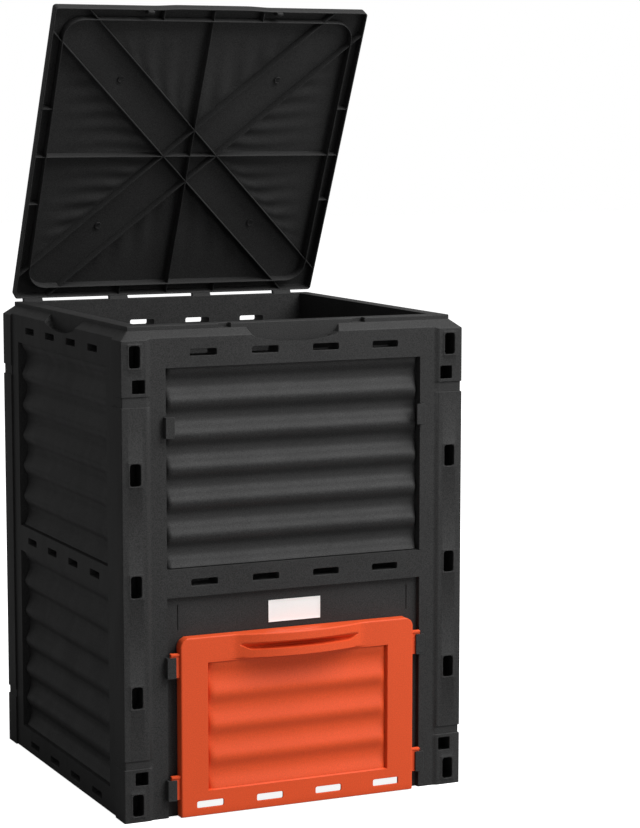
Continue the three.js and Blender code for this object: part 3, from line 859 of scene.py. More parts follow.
    def pad_depth(self, x: Array, z: Array) -> Array:
        """Depth of the right-hand post's front face behind the outer plane.

        Formula: a soft step up from the rail to the pad, let down again in the grooves, less a low
        raised frame round each window, and never less than the shoulder's inset.

        Args:
            x: Places along the wall.
            z: Heights.

        Returns:
            The depth at each place.
        """
        pad = smooth(x, self.pad_start, self.pad_end) * (1.0 - self.pad_groove(z))
        result = self.rail * (1.0 - pad)
        for hole in self.windows():
            across, up = hole.half_x + self.frame_reach, hole.half_z + self.frame_reach
            wide = within(x - hole.x, -across, across, self.frame_run)
            tall = within(z - hole.z, -up, up, self.frame_run)
            result = result - self.frame_height * np.minimum(wide, tall)
        return soft_max(result, self.inset(z), self.crease)

    def post_lines(self) -> tuple[Array, Array]:
        """Grid lines across and up the right-hand post's front face."""
        x_end = self.half - self.corner_round
        x_groups = [np.linspace(self.pad_start, self.pad_end, 9), [x_end]]
        z_groups = [[0.0]]
        for hole in (*self.windows(), *self.pegs()):
            x_groups.append(hole.x_lines())
            z_groups.append(hole.z_lines())
        frame = self.frame_reach - ramp(self.frame_run)
        for hole in self.windows():
            x_groups.append(hole.x + both(hole.half_x + frame))
            z_groups.append(hole.z + both(hole.half_z + frame))
        steps = self.groove_run * np.array([0.0, 0.3, 0.6, 1.0])
        for low, high in self.pad_grooves:
            z_groups.extend([low + steps, high - steps])
        x, z = lines(*x_groups), self.stacked(*z_groups)
        if self.side is Side.BACK:
            x = lines(x, self.notch_half - HINGES[0] - ramp(self.edge))
        return x[(x >= self.pad_start - 1e-6) & (x <= x_end + 1e-6)], z[z >= 0.0]

    def post_depth(self, sign: float) -> DepthField:
        """Depth field of a post's front face, with the back's outer hinge notch on its own side."""
        if self.side is not Side.BACK:
            return self.pad_depth
        return lambda x, z: np.maximum(self.pad_depth(x, z), self.hinge_notch(sign * x, z))

    def drawn_in(self, points: Array, sign: float) -> Array:
        """Draws a post's points in, so that its corner follows the shoulder and the grooves.

        Formula: the corner's inset at each height, shared out in proportion from the pad's start
        to the corner.

        Args:
            points: Points of the right-hand post.
            sign: 1 to leave them on the right and -1 to mirror them to the left.

        Returns:
            The moved points.
        """
        level = points[..., 2]
        corner = np.maximum(np.maximum(self.pad_groove(level) * self.rail, self.inset(level)), 0.0)
        share = 1.0 - corner / (self.half - self.pad_start)
        moved = points.copy()
        moved[..., 0] = sign * (self.pad_start + (points[..., 0] - self.pad_start) * share)
        return moved

    def post(self, mesh: PieceMesh, sign: float, middle: list[Relief]) -> None:
        """Adds one corner post: its front face, its rounded corner and the strip to the middle.

        Formula: the front face is a relief, and the corner is a quarter circle in plan that the
        closing step carries straight back.

        Args:
            mesh: Mesh that receives the post.
            sign: 1 for the right-hand post and -1 for the left-hand one.
            middle: The finished middle reliefs, from the foot up.
        """
        openings = (*self.windows(), *self.pegs())
        relief = Relief(*self.post_lines(), self.post_depth(sign), -self.half, openings)
        part = PieceMesh()
        relief.build(part)
        angle = quarter(6)[:, None]
        arc_x = self.half - self.corner_round * (1.0 - np.sin(angle))
        arc_depth = relief.grid_depth[-1] + self.corner_round * (1.0 - np.cos(angle))
        part.add_grid(relief.place(arc_x, relief.z, arc_depth))
        mesh.join(part, lambda points: self.drawn_in(points, sign))
        inner = self.drawn_in(relief.points[0], sign)
        outer = np.concatenate([band.points[-1 if sign > 0 else 0] for band in middle])
        below, above = self.joint_level + 0.01, self.joint_level - 0.01
        mesh.add_loop(np.concatenate([outer[outer[:, 2] < below], inner[inner[:, 2] < below][::-1]]))
        mesh.add_grid(np.stack([outer[outer[:, 2] > above], inner[inner[:, 2] > above]]))

    def brackets(self, mesh: PieceMesh) -> None:
        """Adds the six door brackets: a plate held off the stile by a web on its outer side."""
        for top in BRACKETS:
            foot = top - BRACKET_HEIGHT
            blocks(mesh, self.plate_across, self.plate_reach, (foot, top), 0.5)
            blocks(mesh, self.web_across, self.web_reach, (foot + self.web_inset, top - self.web_inset), 0.3)

    def build(self) -> bpy.types.Object:
        """Builds the wall, dresses it and lets it stand for its CAD node."""
        mesh = PieceMesh()
        middle = self.middle()
        for relief in middle:
            relief.build(mesh)
        for lower, upper in zip(middle, middle[1:]):
            mesh.add_loop(np.concatenate([lower.points[:, -1], upper.points[::-1, 0]]))
        if self.has_posts:
            self.post(mesh, 1.0, middle)
            self.post(mesh, -1.0, middle)
        if self.is_front:
            self.brackets(mesh)
        piece = mesh.build(self.name, self.turned, ClosedAt(self.thickness - self.half))
        return self.palette.dress(piece, BLACK, "bin_body", self.name)


# Lid


@dataclass
class Lid:
    """The propped lid with its ribs, bosses, catches and knuckles, drawn closed about its hinge."""

    palette: "Palette"
    half: float = 286.0
    front: float = -562.8
    rear: float = -8.0
    free_edge: float = 4.6
    depth: float = 18.5
    skin: float = 2.5
    open_angle: float = 63.8
    hinge: Pair = (274.5, 787.0)
    edge_round: float = 3.0
    corner: float = 6.0
    bulge: float = 2.0
    bulge_end: Pair = (60.0, 110.0)
    ring_inset: float = 20.0
    ring_corner: float = 35.0
    rib: float = 1.9
    rib_rise: float = 1.5
    spread: float = 50.0
    stub: float = 2.0
    stub_at: float = 91.0
    wave_height: Pair = (2.4, 1.7)
    wave_pitch: Pair = (30.0, 36.0)
    boss_at: Pair = (145.5, 141.5)
    boss_height: float = 3.0
    catch_half: float = 5.5
    nib_drop: float = 5.8
    knuckle_radius: float = 6.0
    knuckle_half: float = 18.0

    @property
    def roof(self) -> float:
        """Height of the lid's outer face over the hinge axis."""
        return self.free_edge + self.depth

    @property
    def ceiling_level(self) -> float:
        """Height of the roof's underside."""
        return self.roof - self.skin

    @property
    def middle(self) -> float:
        """Place of the lid's centre from front to rear."""
        return (self.front + self.rear) / 2.0

    @property
    def inner(self) -> Array:
        """Half sizes inside the skirt."""
        return np.array([self.half, (self.rear - self.front) / 2.0]) - self.skin

    def placed(self, points: Array) -> Array:
        """Swings points of the closed lid up about the hinge and carries them to the frame."""
        angle = -math.radians(self.open_angle)
        cosine, sine = math.cos(angle), math.sin(angle)
        y = points[..., 1] * cosine - points[..., 2] * sine
        z = points[..., 1] * sine + points[..., 2] * cosine
        return shifted(np.stack([points[..., 0], y + self.hinge[0], z + self.hinge[1]], -1))

    def outline(self, inset: float, corner: float) -> Array:
        """Rounded rectangle round the lid, drawn in by an inset, with a low bulge at the front.

        Formula: quarter circles about fixed corner centres joined by straight runs; near the edge
        the front run swells softly over its middle.

        Args:
            inset: Distance inside the outer edge.
            corner: Corner radius at no inset.

        Returns:
            Points (x, y) anticlockwise as seen from above.
        """
        radius = max(corner - inset, 0.4)
        x1, y0, y1 = self.half - inset, self.front + inset, self.rear - inset
        arc = quarter(9)
        centres = [(x1 - radius, y0 + radius), (x1 - radius, y1 - radius),
                   (radius - x1, y1 - radius), (radius - x1, y0 + radius)]
        runs = [np.stack([cx + radius * np.cos(arc + turn * math.pi / 2.0),
                          cy + radius * np.sin(arc + turn * math.pi / 2.0)], -1)
                for turn, (cx, cy) in enumerate(centres, -1)]
        rise = np.linspace(*self.bulge_end, 11)
        along = np.concatenate([-rise[::-1], [0.0], rise])
        swell = self.bulge * (1.0 - smooth(np.abs(along), *self.bulge_end)) * (inset < self.ring_inset / 2.0)
        return np.concatenate([*runs, np.stack([along, y0 - swell], -1)])

    def rings(self, profile: Array, corner: float) -> Array:
        """Grid of points of an (inset, height) profile carried round the lid's outline."""
        outlines = np.stack([self.outline(inset, corner) for inset in profile[:, 0]])
        heights = np.broadcast_to(profile[:, 1][:, None, None], (*outlines.shape[:2], 1))
        return np.concatenate([outlines, heights], -1)

    def shell(self, mesh: PieceMesh) -> None:
        """Adds the skirt with the rounded roof edge and the roof's flat outer face."""
        under, foot, skin = self.ceiling_level, self.free_edge, self.skin
        angle = quarter(6)
        round_edge = np.stack([self.edge_round * (1.0 - np.cos(angle)),
                               self.roof - self.edge_round * (1.0 - np.sin(angle))], -1)
        inner = [(skin + 1.2, under), (skin + 0.35, under - 0.35), (skin, under - 1.2),
                 (skin, foot + 0.7), (skin - 0.6, foot), (0.6, foot), (0.0, foot + 0.7)]
        numbers = mesh.add_points(self.rings(np.concatenate([inner, round_edge]), self.corner))
        mesh.add_faces(np.concatenate([numbers, numbers[:, :1]], 1))
        mesh.caps.append(numbers[-1].tolist())

    def ceiling(self, mesh: PieceMesh) -> None:
        """Adds the roof's underside with its cooling waves.

        Formula: in the two side triangles level waves, and in the front and rear ones fainter
        upright waves, each a sine that is highest beside the diagonal bands and fades away from
        them and towards the ring.

        Args:
            mesh: Mesh that receives the surface.
        """
        reach_x, reach_y = self.inner - 4.0
        x, y = np.linspace(-reach_x, reach_x, 181), np.linspace(-reach_y, reach_y, 181)
        grid_x, grid_y = np.meshgrid(x, y, indexing="ij")
        side = np.abs(grid_x) - np.abs(grid_y)
        inside = smooth(reach_x - np.abs(grid_x), 18.0, 90.0) * smooth(reach_y - np.abs(grid_y), 18.0, 90.0)
        near = np.exp(-np.maximum(np.abs(side) - self.spread, 0.0) / 70.0)
        wander = 0.7 * np.sin(grid_x / 31.0 + 0.4) + 0.6 * np.sin(grid_y / 47.0)
        waves = np.zeros_like(grid_x)
        kinds = zip(self.wave_height, self.wave_pitch, (grid_y, grid_x), (side, -side))
        for height, pitch, along, share in kinds:
            fade = smooth(share, self.spread, self.spread + 18.0) * near
            waves += height * fade * np.sin(2 * math.pi * along / pitch + wander)
        level = self.ceiling_level - inside * np.maximum(waves, -1.6)
        mesh.add_grid(np.stack([grid_x, grid_y + self.middle, level], -1))

    def rib_profile(self, foot: float, thick: float) -> Array:
        """Closed cross profile of a rib as (across, height), widest at the roof."""
        t, root = thick / 2.0, self.ceiling_level + 1.2
        half = np.array([(t - 0.5, foot), (t - 0.1, foot + 0.7), (t, root - 3.0), (t + 0.35, root)])
        return np.concatenate([half[::-1] * (-1.0, 1.0), half])

    def rib_along(self, mesh: PieceMesh, start: Numbers, end: Numbers, thick: float) -> None:
        """Adds a straight rib: the rib profile carried from start to end.

        Args:
            mesh: Mesh that receives the rib.
            start: First end as (x, y) from the lid's centre.
            end: Second end.
            thick: The rib's thickness.
        """
        stations = np.array([start, end], float)
        along = (stations[1] - stations[0]) / np.linalg.norm(stations[1] - stations[0])
        across = np.array([-along[1], along[0]])
        profile = self.rib_profile(self.free_edge + self.rib_rise, thick)
        plan = stations[None, :, :] + profile[:, 0][:, None, None] * across
        height = np.broadcast_to(profile[:, 1][:, None, None], (len(profile), 2, 1))
        points = np.concatenate([plan, height], -1)
        points[..., 1] += self.middle
        mesh.add_tube(points)

    def ribs(self, mesh: PieceMesh) -> None:
        """Adds the cross ribs, the four diagonal ribs, the stubs and the ring."""
        x_end, y_end = self.inner + 0.3
        self.rib_along(mesh, (-x_end, 0), (x_end, 0), self.rib)
        self.rib_along(mesh, (0, -y_end), (0, y_end), self.rib)
        for slope in (1.0, -1.0):
            for shift in (self.spread, -self.spread):
                places = [sign * min(x_end, y_end - slope * sign * shift) for sign in (-1.0, 1.0)]
                self.rib_along(mesh, *((x, slope * x + shift) for x in places), self.rib)
        ring_x, ring_y = self.inner + self.skin - self.ring_inset
        for at in (-self.stub_at, self.stub_at):
            for sign in (-1.0, 1.0):
                self.rib_along(mesh, (sign * ring_x, at), (sign * x_end, at), self.stub)
                self.rib_along(mesh, (at, sign * ring_y), (at, sign * y_end), self.stub)
        profile = self.rib_profile(self.free_edge, self.rib)
        profile[:, 0] += self.ring_inset + self.rib / 2.0
        mesh.add_tube(self.rings(profile, self.ring_inset + self.ring_corner), closed=True)

    def bosses(self, mesh: PieceMesh) -> None:
        """Adds four short C-shaped bosses: a ring section carried round most of a circle."""
        root, foot = self.ceiling_level + 1.0, self.ceiling_level - self.boss_height
        section = np.array([(4.7, root), (4.8, foot + 0.3), (5.0, foot),
                            (6.0, foot), (6.2, foot + 0.3), (6.4, root)])
        angle = np.linspace(math.radians(35), math.radians(325), 30)
        radius, height = section[:, 0][:, None], section[:, 1][:, None]
        for sx in (-1, 1):
            for sy in (-1, 1):
                x = sx * self.boss_at[0] + radius * np.cos(angle)
                y = self.middle + sy * self.boss_at[1] + radius * np.sin(angle)
                mesh.add_tube(np.stack(np.broadcast_arrays(x, y, height), -1))

    def catches(self, mesh: PieceMesh) -> None:
        """Adds the two catches behind the front edge, each with a nib that drops to the collar."""
        x = (CATCH_AT - self.catch_half, CATCH_AT + self.catch_half)
        foot = self.free_edge
        blocks(mesh, x, (self.front + 1.2, self.front + 10.0), (foot, self.roof - 1.2), 0.7)
        blocks(mesh, x, (self.front + 1.3, self.front + 5.8), (foot - self.nib_drop, foot + 2.5), 0.7)

    def knuckles(self, mesh: PieceMesh) -> None:
        """Adds the hinge knuckles and the arms that join them to the rear edge."""
        root = self.rear - 1.25
        lean = self.knuckle_radius * math.sqrt(0.5)
        arm = np.array([(root, self.free_edge + 0.2), (-lean, -lean), (lean, lean),
                        (root, self.free_edge + 9.0)])
        angle = np.linspace(0.0, 2.0 * math.pi, 32, endpoint=False)
        circle = self.knuckle_radius * np.stack([np.cos(angle), np.sin(angle)], -1)
        ends = np.sort(both([self.knuckle_half, self.knuckle_half - 0.7]))
        for at in HINGES:
            along_x(mesh, circle, at + ends, np.array([0.88, 1.0, 1.0, 0.88]))
            along_x(mesh, arm, at + both([self.knuckle_half - 0.8]), np.ones(2))

    def build(self) -> bpy.types.Object:
        """Builds the lid in its open place, dresses it and lets it stand for its CAD node."""
        mesh = PieceMesh()
        for part in (self.shell, self.ceiling, self.ribs, self.bosses, self.catches, self.knuckles):
            part(mesh)
        piece = mesh.build("lid", self.placed, filled_level)
        return self.palette.dress(piece, BLACK, "lid", "lid")


# Door


@dataclass
class Door:
    """The orange emptying door: a thin moulded shell with a bowed handle, waves, slots and lugs."""

    palette: "Palette"
    half: float = 206.5
    foot: float = 1.0
    top: float = 293.0
    face: float = -309.5
    thickness: float = 18.7
    skin: float = 2.8
    corner: float = 15.0
    edge_round: float = 2.2
    field_half: float = 160.0
    field_rows: Pair = (41.0, 251.0)
    field_run: float = 1.6
    bow_half: float = 112.0
    bow_proud: float = 19.9
    bow_low: float = 252.0
    bow_run: float = 2.4
    grip_half: float = 106.0
    grip_low: float = 266.5
    grip_lip: float = 1.4
    grip_slope: Pair = (268.5, 279.5)
    grip_depth: float = 2.0
    taper_start: float = 84.0
    taper_rise: float = 7.0
    slot_level: float = 19.6
    slot_places: tuple[float, ...] = (-156.8, -52.3, 52.3, 156.8)
    lug_across: Pair = (204.0, 222.0)
    lug_rear: float = -299.1
    lug_face: float = -304.5
    lug_drop: float = 33.7
    lug_rise: float = 6.2
    lip_face: float = -306.0
    lip_rise: Pair = (1.6, 6.0)

    @property
    def waves(self) -> Waves:
        """Four soft waves of the sunk field."""
        return Waves(*self.field_rows, count=4, half=self.field_half, ledge=8.0,
                     drops=(0.0, 5.0, 11.0, 17.0, 23.0, 31.0, 41.0), rises=(5.0, 0.0),
                     levels=(2.2, 2.7, 4.8, 6.8, 7.3, 7.0, 4.8, 2.7, 2.2),
                     nose_gap=3.0, nose_run=12.0, blur=4.2, per_pitch=22)

    def bow(self, x: Array) -> Array:
        """How far the handle stands proud: a circular arc over its width with soft ends."""
        radius = (self.bow_half**2 + self.bow_proud**2) / (2.0 * self.bow_proud)
        arc = np.sqrt(radius**2 - x**2) - (radius - self.bow_proud)
        return soft_max(arc, np.zeros_like(x), 2.0)

    def depth(self, x: Array, z: Array) -> Array:
        """Depth behind the door's face.

        Formula: waves sunk behind the face, less the handle's bow over its height, with a finger
        slot that slopes in from above to a sharp lower lip and tapers at both ends.

        Args:
            x: Places across the door.
            z: Heights.

        Returns:
            Depth, negative where the handle stands proud.
        """
        low, high = self.field_rows
        mask = np.minimum(within(x, -self.field_half, self.field_half, self.field_run),
                          within(z, low, high, self.field_run))
        result = mask * self.waves.depth(x, np.clip(z, low, high))
        result = result - self.bow(x) * smooth(z, self.bow_low, self.bow_low + self.bow_run)
        reach = np.abs(x)
        lower_lip = self.grip_low + self.taper_rise * smooth(reach, self.taper_start, self.grip_half)
        slot = smooth(z - lower_lip, 0.0, self.grip_lip) * (1.0 - smooth(z, *self.grip_slope))
        slot = slot * (1.0 - smooth(reach, self.grip_half - 5.0, self.grip_half))
        return result + (self.grip_depth - result) * slot

    def inner_depth(self, x: Array, z: Array) -> Array:
        """Depth of the inner face: one skin behind the deepest point of the front close by."""
        steps = (-self.skin, 0.0, self.skin)
        near = [self.depth(x + across, z + up) for across in steps for up in steps]
        return np.max(near, axis=0) + self.skin

    def drawn_in(self, points: Array) -> Array:
        """Draws points near the upper corners in, as a circle about the corner's centre.

        Args:
            points: Points of the door with square upper corners.

        Returns:
            The moved points.
        """
        start = self.half - self.corner
        over = np.clip(points[:, 2] - (self.top - self.corner), 0.0, 0.99 * self.corner)
        share = np.sqrt(1.0 - (over / self.corner) ** 2)
        beyond = np.maximum(np.abs(points[:, 0]) - start, 0.0)
        moved = points.copy()
        moved[:, 0] = np.sign(points[:, 0]) * (np.abs(points[:, 0]) - beyond * (1.0 - share))
        return moved

    def slots(self) -> list[Opening]:
        """Vent slots at the foot, which go through the skin."""
        return [Opening(x, self.slot_level, *SLOT_HALF, floor=self.skin, blind=False)
                for x in self.slot_places]

    def grid_lines(self) -> tuple[Array, Array]:
        """Grid lines across the door and up it."""
        low, high = self.field_rows
        run = ramp(self.field_run, 5)
        reach, head = self.half - self.edge_round, self.top - self.edge_round
        bow_ends = self.bow_half + np.array([-4.0, -2.0, 0.0, 2.0, 5.0, 9.0])
        x_groups = [both(reach - ramp(self.corner - self.edge_round, 7)),
                    both(self.field_half - run), both([self.field_half + 0.5]), self.waves.x_lines(),
                    both(ramp(80.0, 14)), both(np.linspace(83.0, self.grip_half, 20)), both(bow_ends)]
        z_groups = [[self.foot + self.edge_round, low - 0.5], low + run, high - run, self.waves.z_lines(),
                    self.bow_low + ramp(self.bow_run, 7), [self.bow_low + 5.0, self.bow_low + 11.0],
                    np.linspace(self.grip_low, self.grip_slope[1] + 2.0, 40),
                    np.linspace(self.top - self.corner, head, 10)]
        for hole in self.slots():
            x_groups.append(hole.x_lines())
            z_groups.append(hole.z_lines())
        return lines(*x_groups), lines(*z_groups)

    def panel(self, mesh: PieceMesh) -> None:
        """Adds the door's front skin, rounded edges, back rim and inner skin.

        Formula: from the front's border rings of points follow a quarter circle outwards, run back
        to the rim, across it and forward again to the inner skin's border.

        Args:
            mesh: Mesh that receives the panel.
        """
        part = PieceMesh()
        relief = Relief(*self.grid_lines(), self.depth, self.face, self.slots())
        inner = self.inner_depth(relief.grid_x, relief.grid_z)
        relief.build(part)
        last = (len(relief.x) - 1, len(relief.z) - 1)
        i, j = relief.border((0, 0), last)
        push_x, push_z = (1.0 * (at == end)[:, None] - (at == 0)[:, None] for at, end in zip((i, j), last))
        angle = quarter(5)
        radius, wall, back = self.edge_round, self.edge_round - self.skin, self.thickness
        out = np.concatenate([radius * np.sin(angle), [radius, radius - 0.5, wall + 0.5, wall, wall]])
        start = relief.grid_depth[i, j][:, None] + radius * (1.0 - np.cos(angle))
        rim = np.broadcast_to([back - 0.5, back, back, back - 0.5], (len(start), 4))
        levels = np.concatenate([start, rim, inner[i, j][:, None]], 1)
        ring_x = relief.grid_x[i, j][:, None] + push_x * out
        ring_z = relief.grid_z[i, j][:, None] + push_z * out
        part.add_grid(relief.place(ring_x, ring_z, levels))
        side = self.half - self.skin
        inner_x = np.clip(relief.inner_x, -side, side)
        inner_z = np.clip(relief.inner_z, self.foot + self.skin, self.top - self.skin)
        part.add_grid(relief.place(inner_x, inner_z, inner), relief.keep)
        mesh.join(part, self.drawn_in)

    def lugs(self, mesh: PieceMesh) -> None:
        """Adds the lugs: a tongue behind each lower bracket and a lip on its top."""
        for top in BRACKETS[:2]:
            tongue = (top - self.lug_drop, top + self.lug_rise)
            lip = (top + self.lip_rise[0], top + self.lip_rise[1])
            blocks(mesh, self.lug_across, (self.lug_face, self.lug_rear), tongue, 0.6)
            blocks(mesh, self.lug_across, (self.lip_face, self.lug_rear), lip, 0.9)

    def build(self) -> bpy.types.Object:
        """Builds the door, dresses it and lets it stand for its CAD node."""
        mesh = PieceMesh()
        self.panel(mesh)
        self.lugs(mesh)
        return self.palette.dress(mesh.build("door", shifted), ORANGE, "door", "door")


@dataclass
class NamePlate:
    """The blank plate over the door: a thin card with a low raised border."""

    palette: "Palette"
    half: float = 46.0
    rows: Pair = (303.0, 339.0)
    face: float = -290.2
    thickness: float = 0.9
    sunk: float = 0.15
    border: Pair = (1.0, 1.8)

    def depth(self, x: Array, z: Array) -> Array:
        """Depth behind the plate's front: a narrow border and a face sunk a little behind it."""
        beside = np.minimum(self.half - np.abs(x), np.minimum(z - self.rows[0], self.rows[1] - z))
        return self.sunk * smooth(beside, *self.border)

    def build(self) -> bpy.types.Object:
        """Builds the plate, dresses it and lets it stand for its CAD node."""
        near = np.array([0.0, 1.0, 1.4, 1.8, 6.0])
        x = lines(both(self.half - near), [0.0])
        z = lines(self.rows[0] + near, self.rows[1] - near)
        mesh = PieceMesh()
        Relief(x, z, self.depth, self.face).build(mesh)
        piece = mesh.build("name_plate", shifted, ClosedAt(self.face + self.thickness))
        return self.palette.dress(piece, PLATE, "bin_body", "name_plate")


# Finishes


def grey(value: float) -> tuple[float, float, float, float]:
    """Opaque grey of one value."""
    return (value, value, value, 1.0)


class Tree:
    """Small helper that adds and links the nodes of one shader tree."""

    def __init__(self, tree: bpy.types.NodeTree) -> None:
        """Empties the tree and keeps it."""
        self.tree = tree
        tree.nodes.clear()

    def add(self, kind: str, inputs: dict[str | int, object] | None = None,
            **settings: object) -> bpy.types.Node:
        """Adds a node.

        Args:
            kind: The node's type.
            inputs: Its inputs by name or number, each a value or the output that feeds it.
            **settings: Its own properties, which are set first.

        Returns:
            The node.
        """
        node = self.tree.nodes.new(kind)
        for key, value in settings.items():
            setattr(node, key, value)
        for key, value in (inputs or {}).items():
            if isinstance(value, Socket):
                self.tree.links.new(value, node.inputs[key])
            else:
                node.inputs[key].default_value = value
        return node

    def noise(self, place: Socket, **inputs: object) -> Socket:
        """Noise over a place, with the noise node's inputs by name."""
        return self.add("ShaderNodeTexNoise", {"Vector": place, **inputs}).outputs["Fac"]

    def ranged(self, source: Socket, limits: Sequence[float]) -> Socket:
        """Carries a value from one range to another; limits are lowest and highest in, then out."""
        return self.add("ShaderNodeMapRange", dict(enumerate((source, *limits)))).outputs[0]

    def product(self, first: Socket, second: Socket) -> Socket:
        """Product of two values."""
        return self.add("ShaderNodeMath", {0: first, 1: second}, operation="MULTIPLY").outputs[0]

    def by_camera(self, light: Socket, seen: Socket) -> Socket:
        """Shader that the camera sees as one thing and that lights the scene as another."""
        on_camera = self.add("ShaderNodeLightPath").outputs["Is Camera Ray"]
        return self.add("ShaderNodeMixShader", {0: on_camera, 1: light, 2: seen}).outputs[0]


def grain_group() -> bpy.types.NodeTree:
    """Node group for moulded plastic: fine grain, clouding, flow marks and settled dust.

    Returns:
        A group with the inputs Grain Scale and Cloud Scale and the outputs Tone, Roughness,
        Height and Dust, all of which change over the surface.
    """
    group = bpy.data.node_groups.new("moulded_grain", "ShaderNodeTree")
    for name, value in (("Grain Scale", 700.0), ("Cloud Scale", 9.0)):
        socket = group.interface.new_socket(name, in_out="INPUT", socket_type="NodeSocketFloat")
        socket.default_value = value
    for name in ("Tone", "Roughness", "Height", "Dust"):
        group.interface.new_socket(name, in_out="OUTPUT", socket_type="NodeSocketFloat")
    t = Tree(group)
    scales = t.add("NodeGroupInput").outputs
    place = t.add("ShaderNodeTexCoord").outputs["Object"]
    stretch = t.add("ShaderNodeVectorMath", {0: place, 1: (1.0, 1.0, 0.22)}, operation="MULTIPLY")
    grain = t.noise(place, Scale=scales["Grain Scale"], Detail=2.0, Roughness=0.6)
    cloud = t.noise(place, Scale=scales["Cloud Scale"], Detail=4.0, Roughness=0.55)
    flow = t.noise(stretch.outputs[0], Scale=26.0, Detail=3.0, Distortion=0.6)
    speckle = t.ranged(grain, (0.32, 0.68, 0.66, 1.34))
    normal = t.add("ShaderNodeNewGeometry").outputs["Normal"]
    upward = t.ranged(t.add("ShaderNodeSeparateXYZ", {0: normal}).outputs["Z"], (0.45, 1.0, 0.0, 1.0))
    t.add("NodeGroupOutput", {
        "Tone": t.product(speckle, t.ranged(cloud, (0.30, 0.70, 0.93, 1.07))),
        "Roughness": t.ranged(flow, (0.25, 0.75, -0.05, 0.05)),
        "Height": grain,
        "Dust": t.product(upward, cloud),
    })
    return group


@dataclass(frozen=True)
class Finish:
    """A moulded plastic: its colour, sheen and grain."""

    name: str
    colour: Triple
    dust: Triple
    roughness: float
    grain_scale: float
    cloud_scale: float
    bump: float
    dust_amount: float
    specular: float
    speckle: float

    def material(self, group: bpy.types.NodeTree) -> bpy.types.Material:
        """Builds the material: grained and clouded colour, uneven gloss, bump and dust.

        Args:
            group: The shared grain group.

        Returns:
            The material.
        """
        material = bpy.data.materials.new(self.name)
        material.use_nodes = True
        t = Tree(material.node_tree)
        scales = {"Grain Scale": self.grain_scale, "Cloud Scale": self.cloud_scale}
        grain = t.add("ShaderNodeGroup", scales, node_tree=group).outputs
        varied = t.ranged(grain["Tone"], (0.6, 1.4, 1.0 - self.speckle, 1.0 + self.speckle))
        tone = t.add("ShaderNodeCombineColor", dict.fromkeys(("Red", "Green", "Blue"), varied))
        tint = t.add("ShaderNodeMix", {"Factor": 1.0, "A": (*self.colour, 1.0), "B": tone.outputs[0]},
                     data_type="RGBA", blend_type="MULTIPLY")
        dust = t.ranged(grain["Dust"], (0.0, 1.0, 0.0, self.dust_amount))
        dusty = t.add("ShaderNodeMix", {"Factor": dust, "A": tint.outputs["Result"], "B": (*self.dust, 1.0)},
                      data_type="RGBA")
        gloss = t.ranged(grain["Roughness"], (-0.1, 0.1, self.roughness - 0.1, self.roughness + 0.1))
        bump = t.add("ShaderNodeBump", {"Strength": self.bump, "Distance": 0.0004, "Height": grain["Height"]})
        shader = t.add("ShaderNodeBsdfPrincipled", {
            "Base Color": dusty.outputs["Result"],
            "Roughness": gloss,
            "Specular IOR Level": self.specular,
            "Normal": bump.outputs["Normal"],
        })
        t.add("ShaderNodeOutputMaterial", {"Surface": shader.outputs[0]})
        return material


BLACK = Finish("black_plastic", (0.0309, 0.0309, 0.0310), (0.06, 0.058, 0.055), roughness=0.52,
               grain_scale=680.0, cloud_scale=8.0, bump=0.40, dust_amount=0.10, specular=0.12, speckle=0.50)
ORANGE = Finish("orange_plastic", (0.71, 0.082, 0.0205), (0.8, 0.25, 0.12), roughness=0.46,
                grain_scale=620.0, cloud_scale=10.0, bump=0.25, dust_amount=0.03, specular=0.22, speckle=0.12)
PLATE = Finish("white_plate", (0.88, 0.92, 0.91), (0.8, 0.78, 0.74), roughness=0.5,
               grain_scale=900.0, cloud_scale=30.0, bump=0.05, dust_amount=0.05, specular=0.3, speckle=0.03)
PIN = Finish("pin_plastic", (0.012, 0.012, 0.012), (0.05, 0.05, 0.05), roughness=0.40,
             grain_scale=900.0, cloud_scale=20.0, bump=0.1, dust_amount=0.05, specular=0.3, speckle=0.3)


class Palette:
    """The materials of all finishes, made once, and the dressing of pieces with them."""

    def __init__(self) -> None:
        """Makes every material."""
        group = grain_group()
        self.materials = {each.name: each.material(group) for each in (BLACK, ORANGE, PLATE, PIN)}

    def dress(self, piece: bpy.types.Object, finish: Finish, body: str, node: str) -> bpy.types.Object:
        """Gives a piece its material and its body, and hides the CAD node that it stands for.

        Args:
            piece: The finished object.
            finish: Its finish.
            body: CAD body that it rides on.
            node: CAD node that it replaces.

        Returns:
            The same object.
        """
        piece.data.materials.append(self.materials[finish.name])
        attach(piece, body)
        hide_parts(node)
        finish.name
        LOG.info("%s: %d faces on %s", piece.name, len(piece.data.polygons), body)
        return piece

    def repaint(self, node: bpy.types.Object, finish: Finish) -> None:
        """Gives a CAD node that keeps its own mesh a finish."""
        node.data.materials.clear()
        node.data.materials.append(self.materials[finish.name])
        LOG.info("%s keeps its CAD mesh", node.name)


# Studio


@dataclass(frozen=True)
class Lamp:
    """A square area lamp that looks at a point, in metres and watts."""

    name: str
    place: Triple
    aim: Triple
    size: float
    power: float

    def build(self) -> None:
        """Adds the lamp, turned so that its own -Z looks at its aim."""
        data = bpy.data.lights.new(self.name, "AREA")
        data.size = self.size
        data.energy = self.power
        lamp = added(self.name, data)
        look = np.subtract(self.aim, self.place)
        tilt = math.atan2(math.hypot(look[0], look[1]), -look[2])
        lamp.location = self.place
        lamp.rotation_euler = (tilt, 0.0, math.atan2(look[1], look[0]) - math.pi / 2.0)


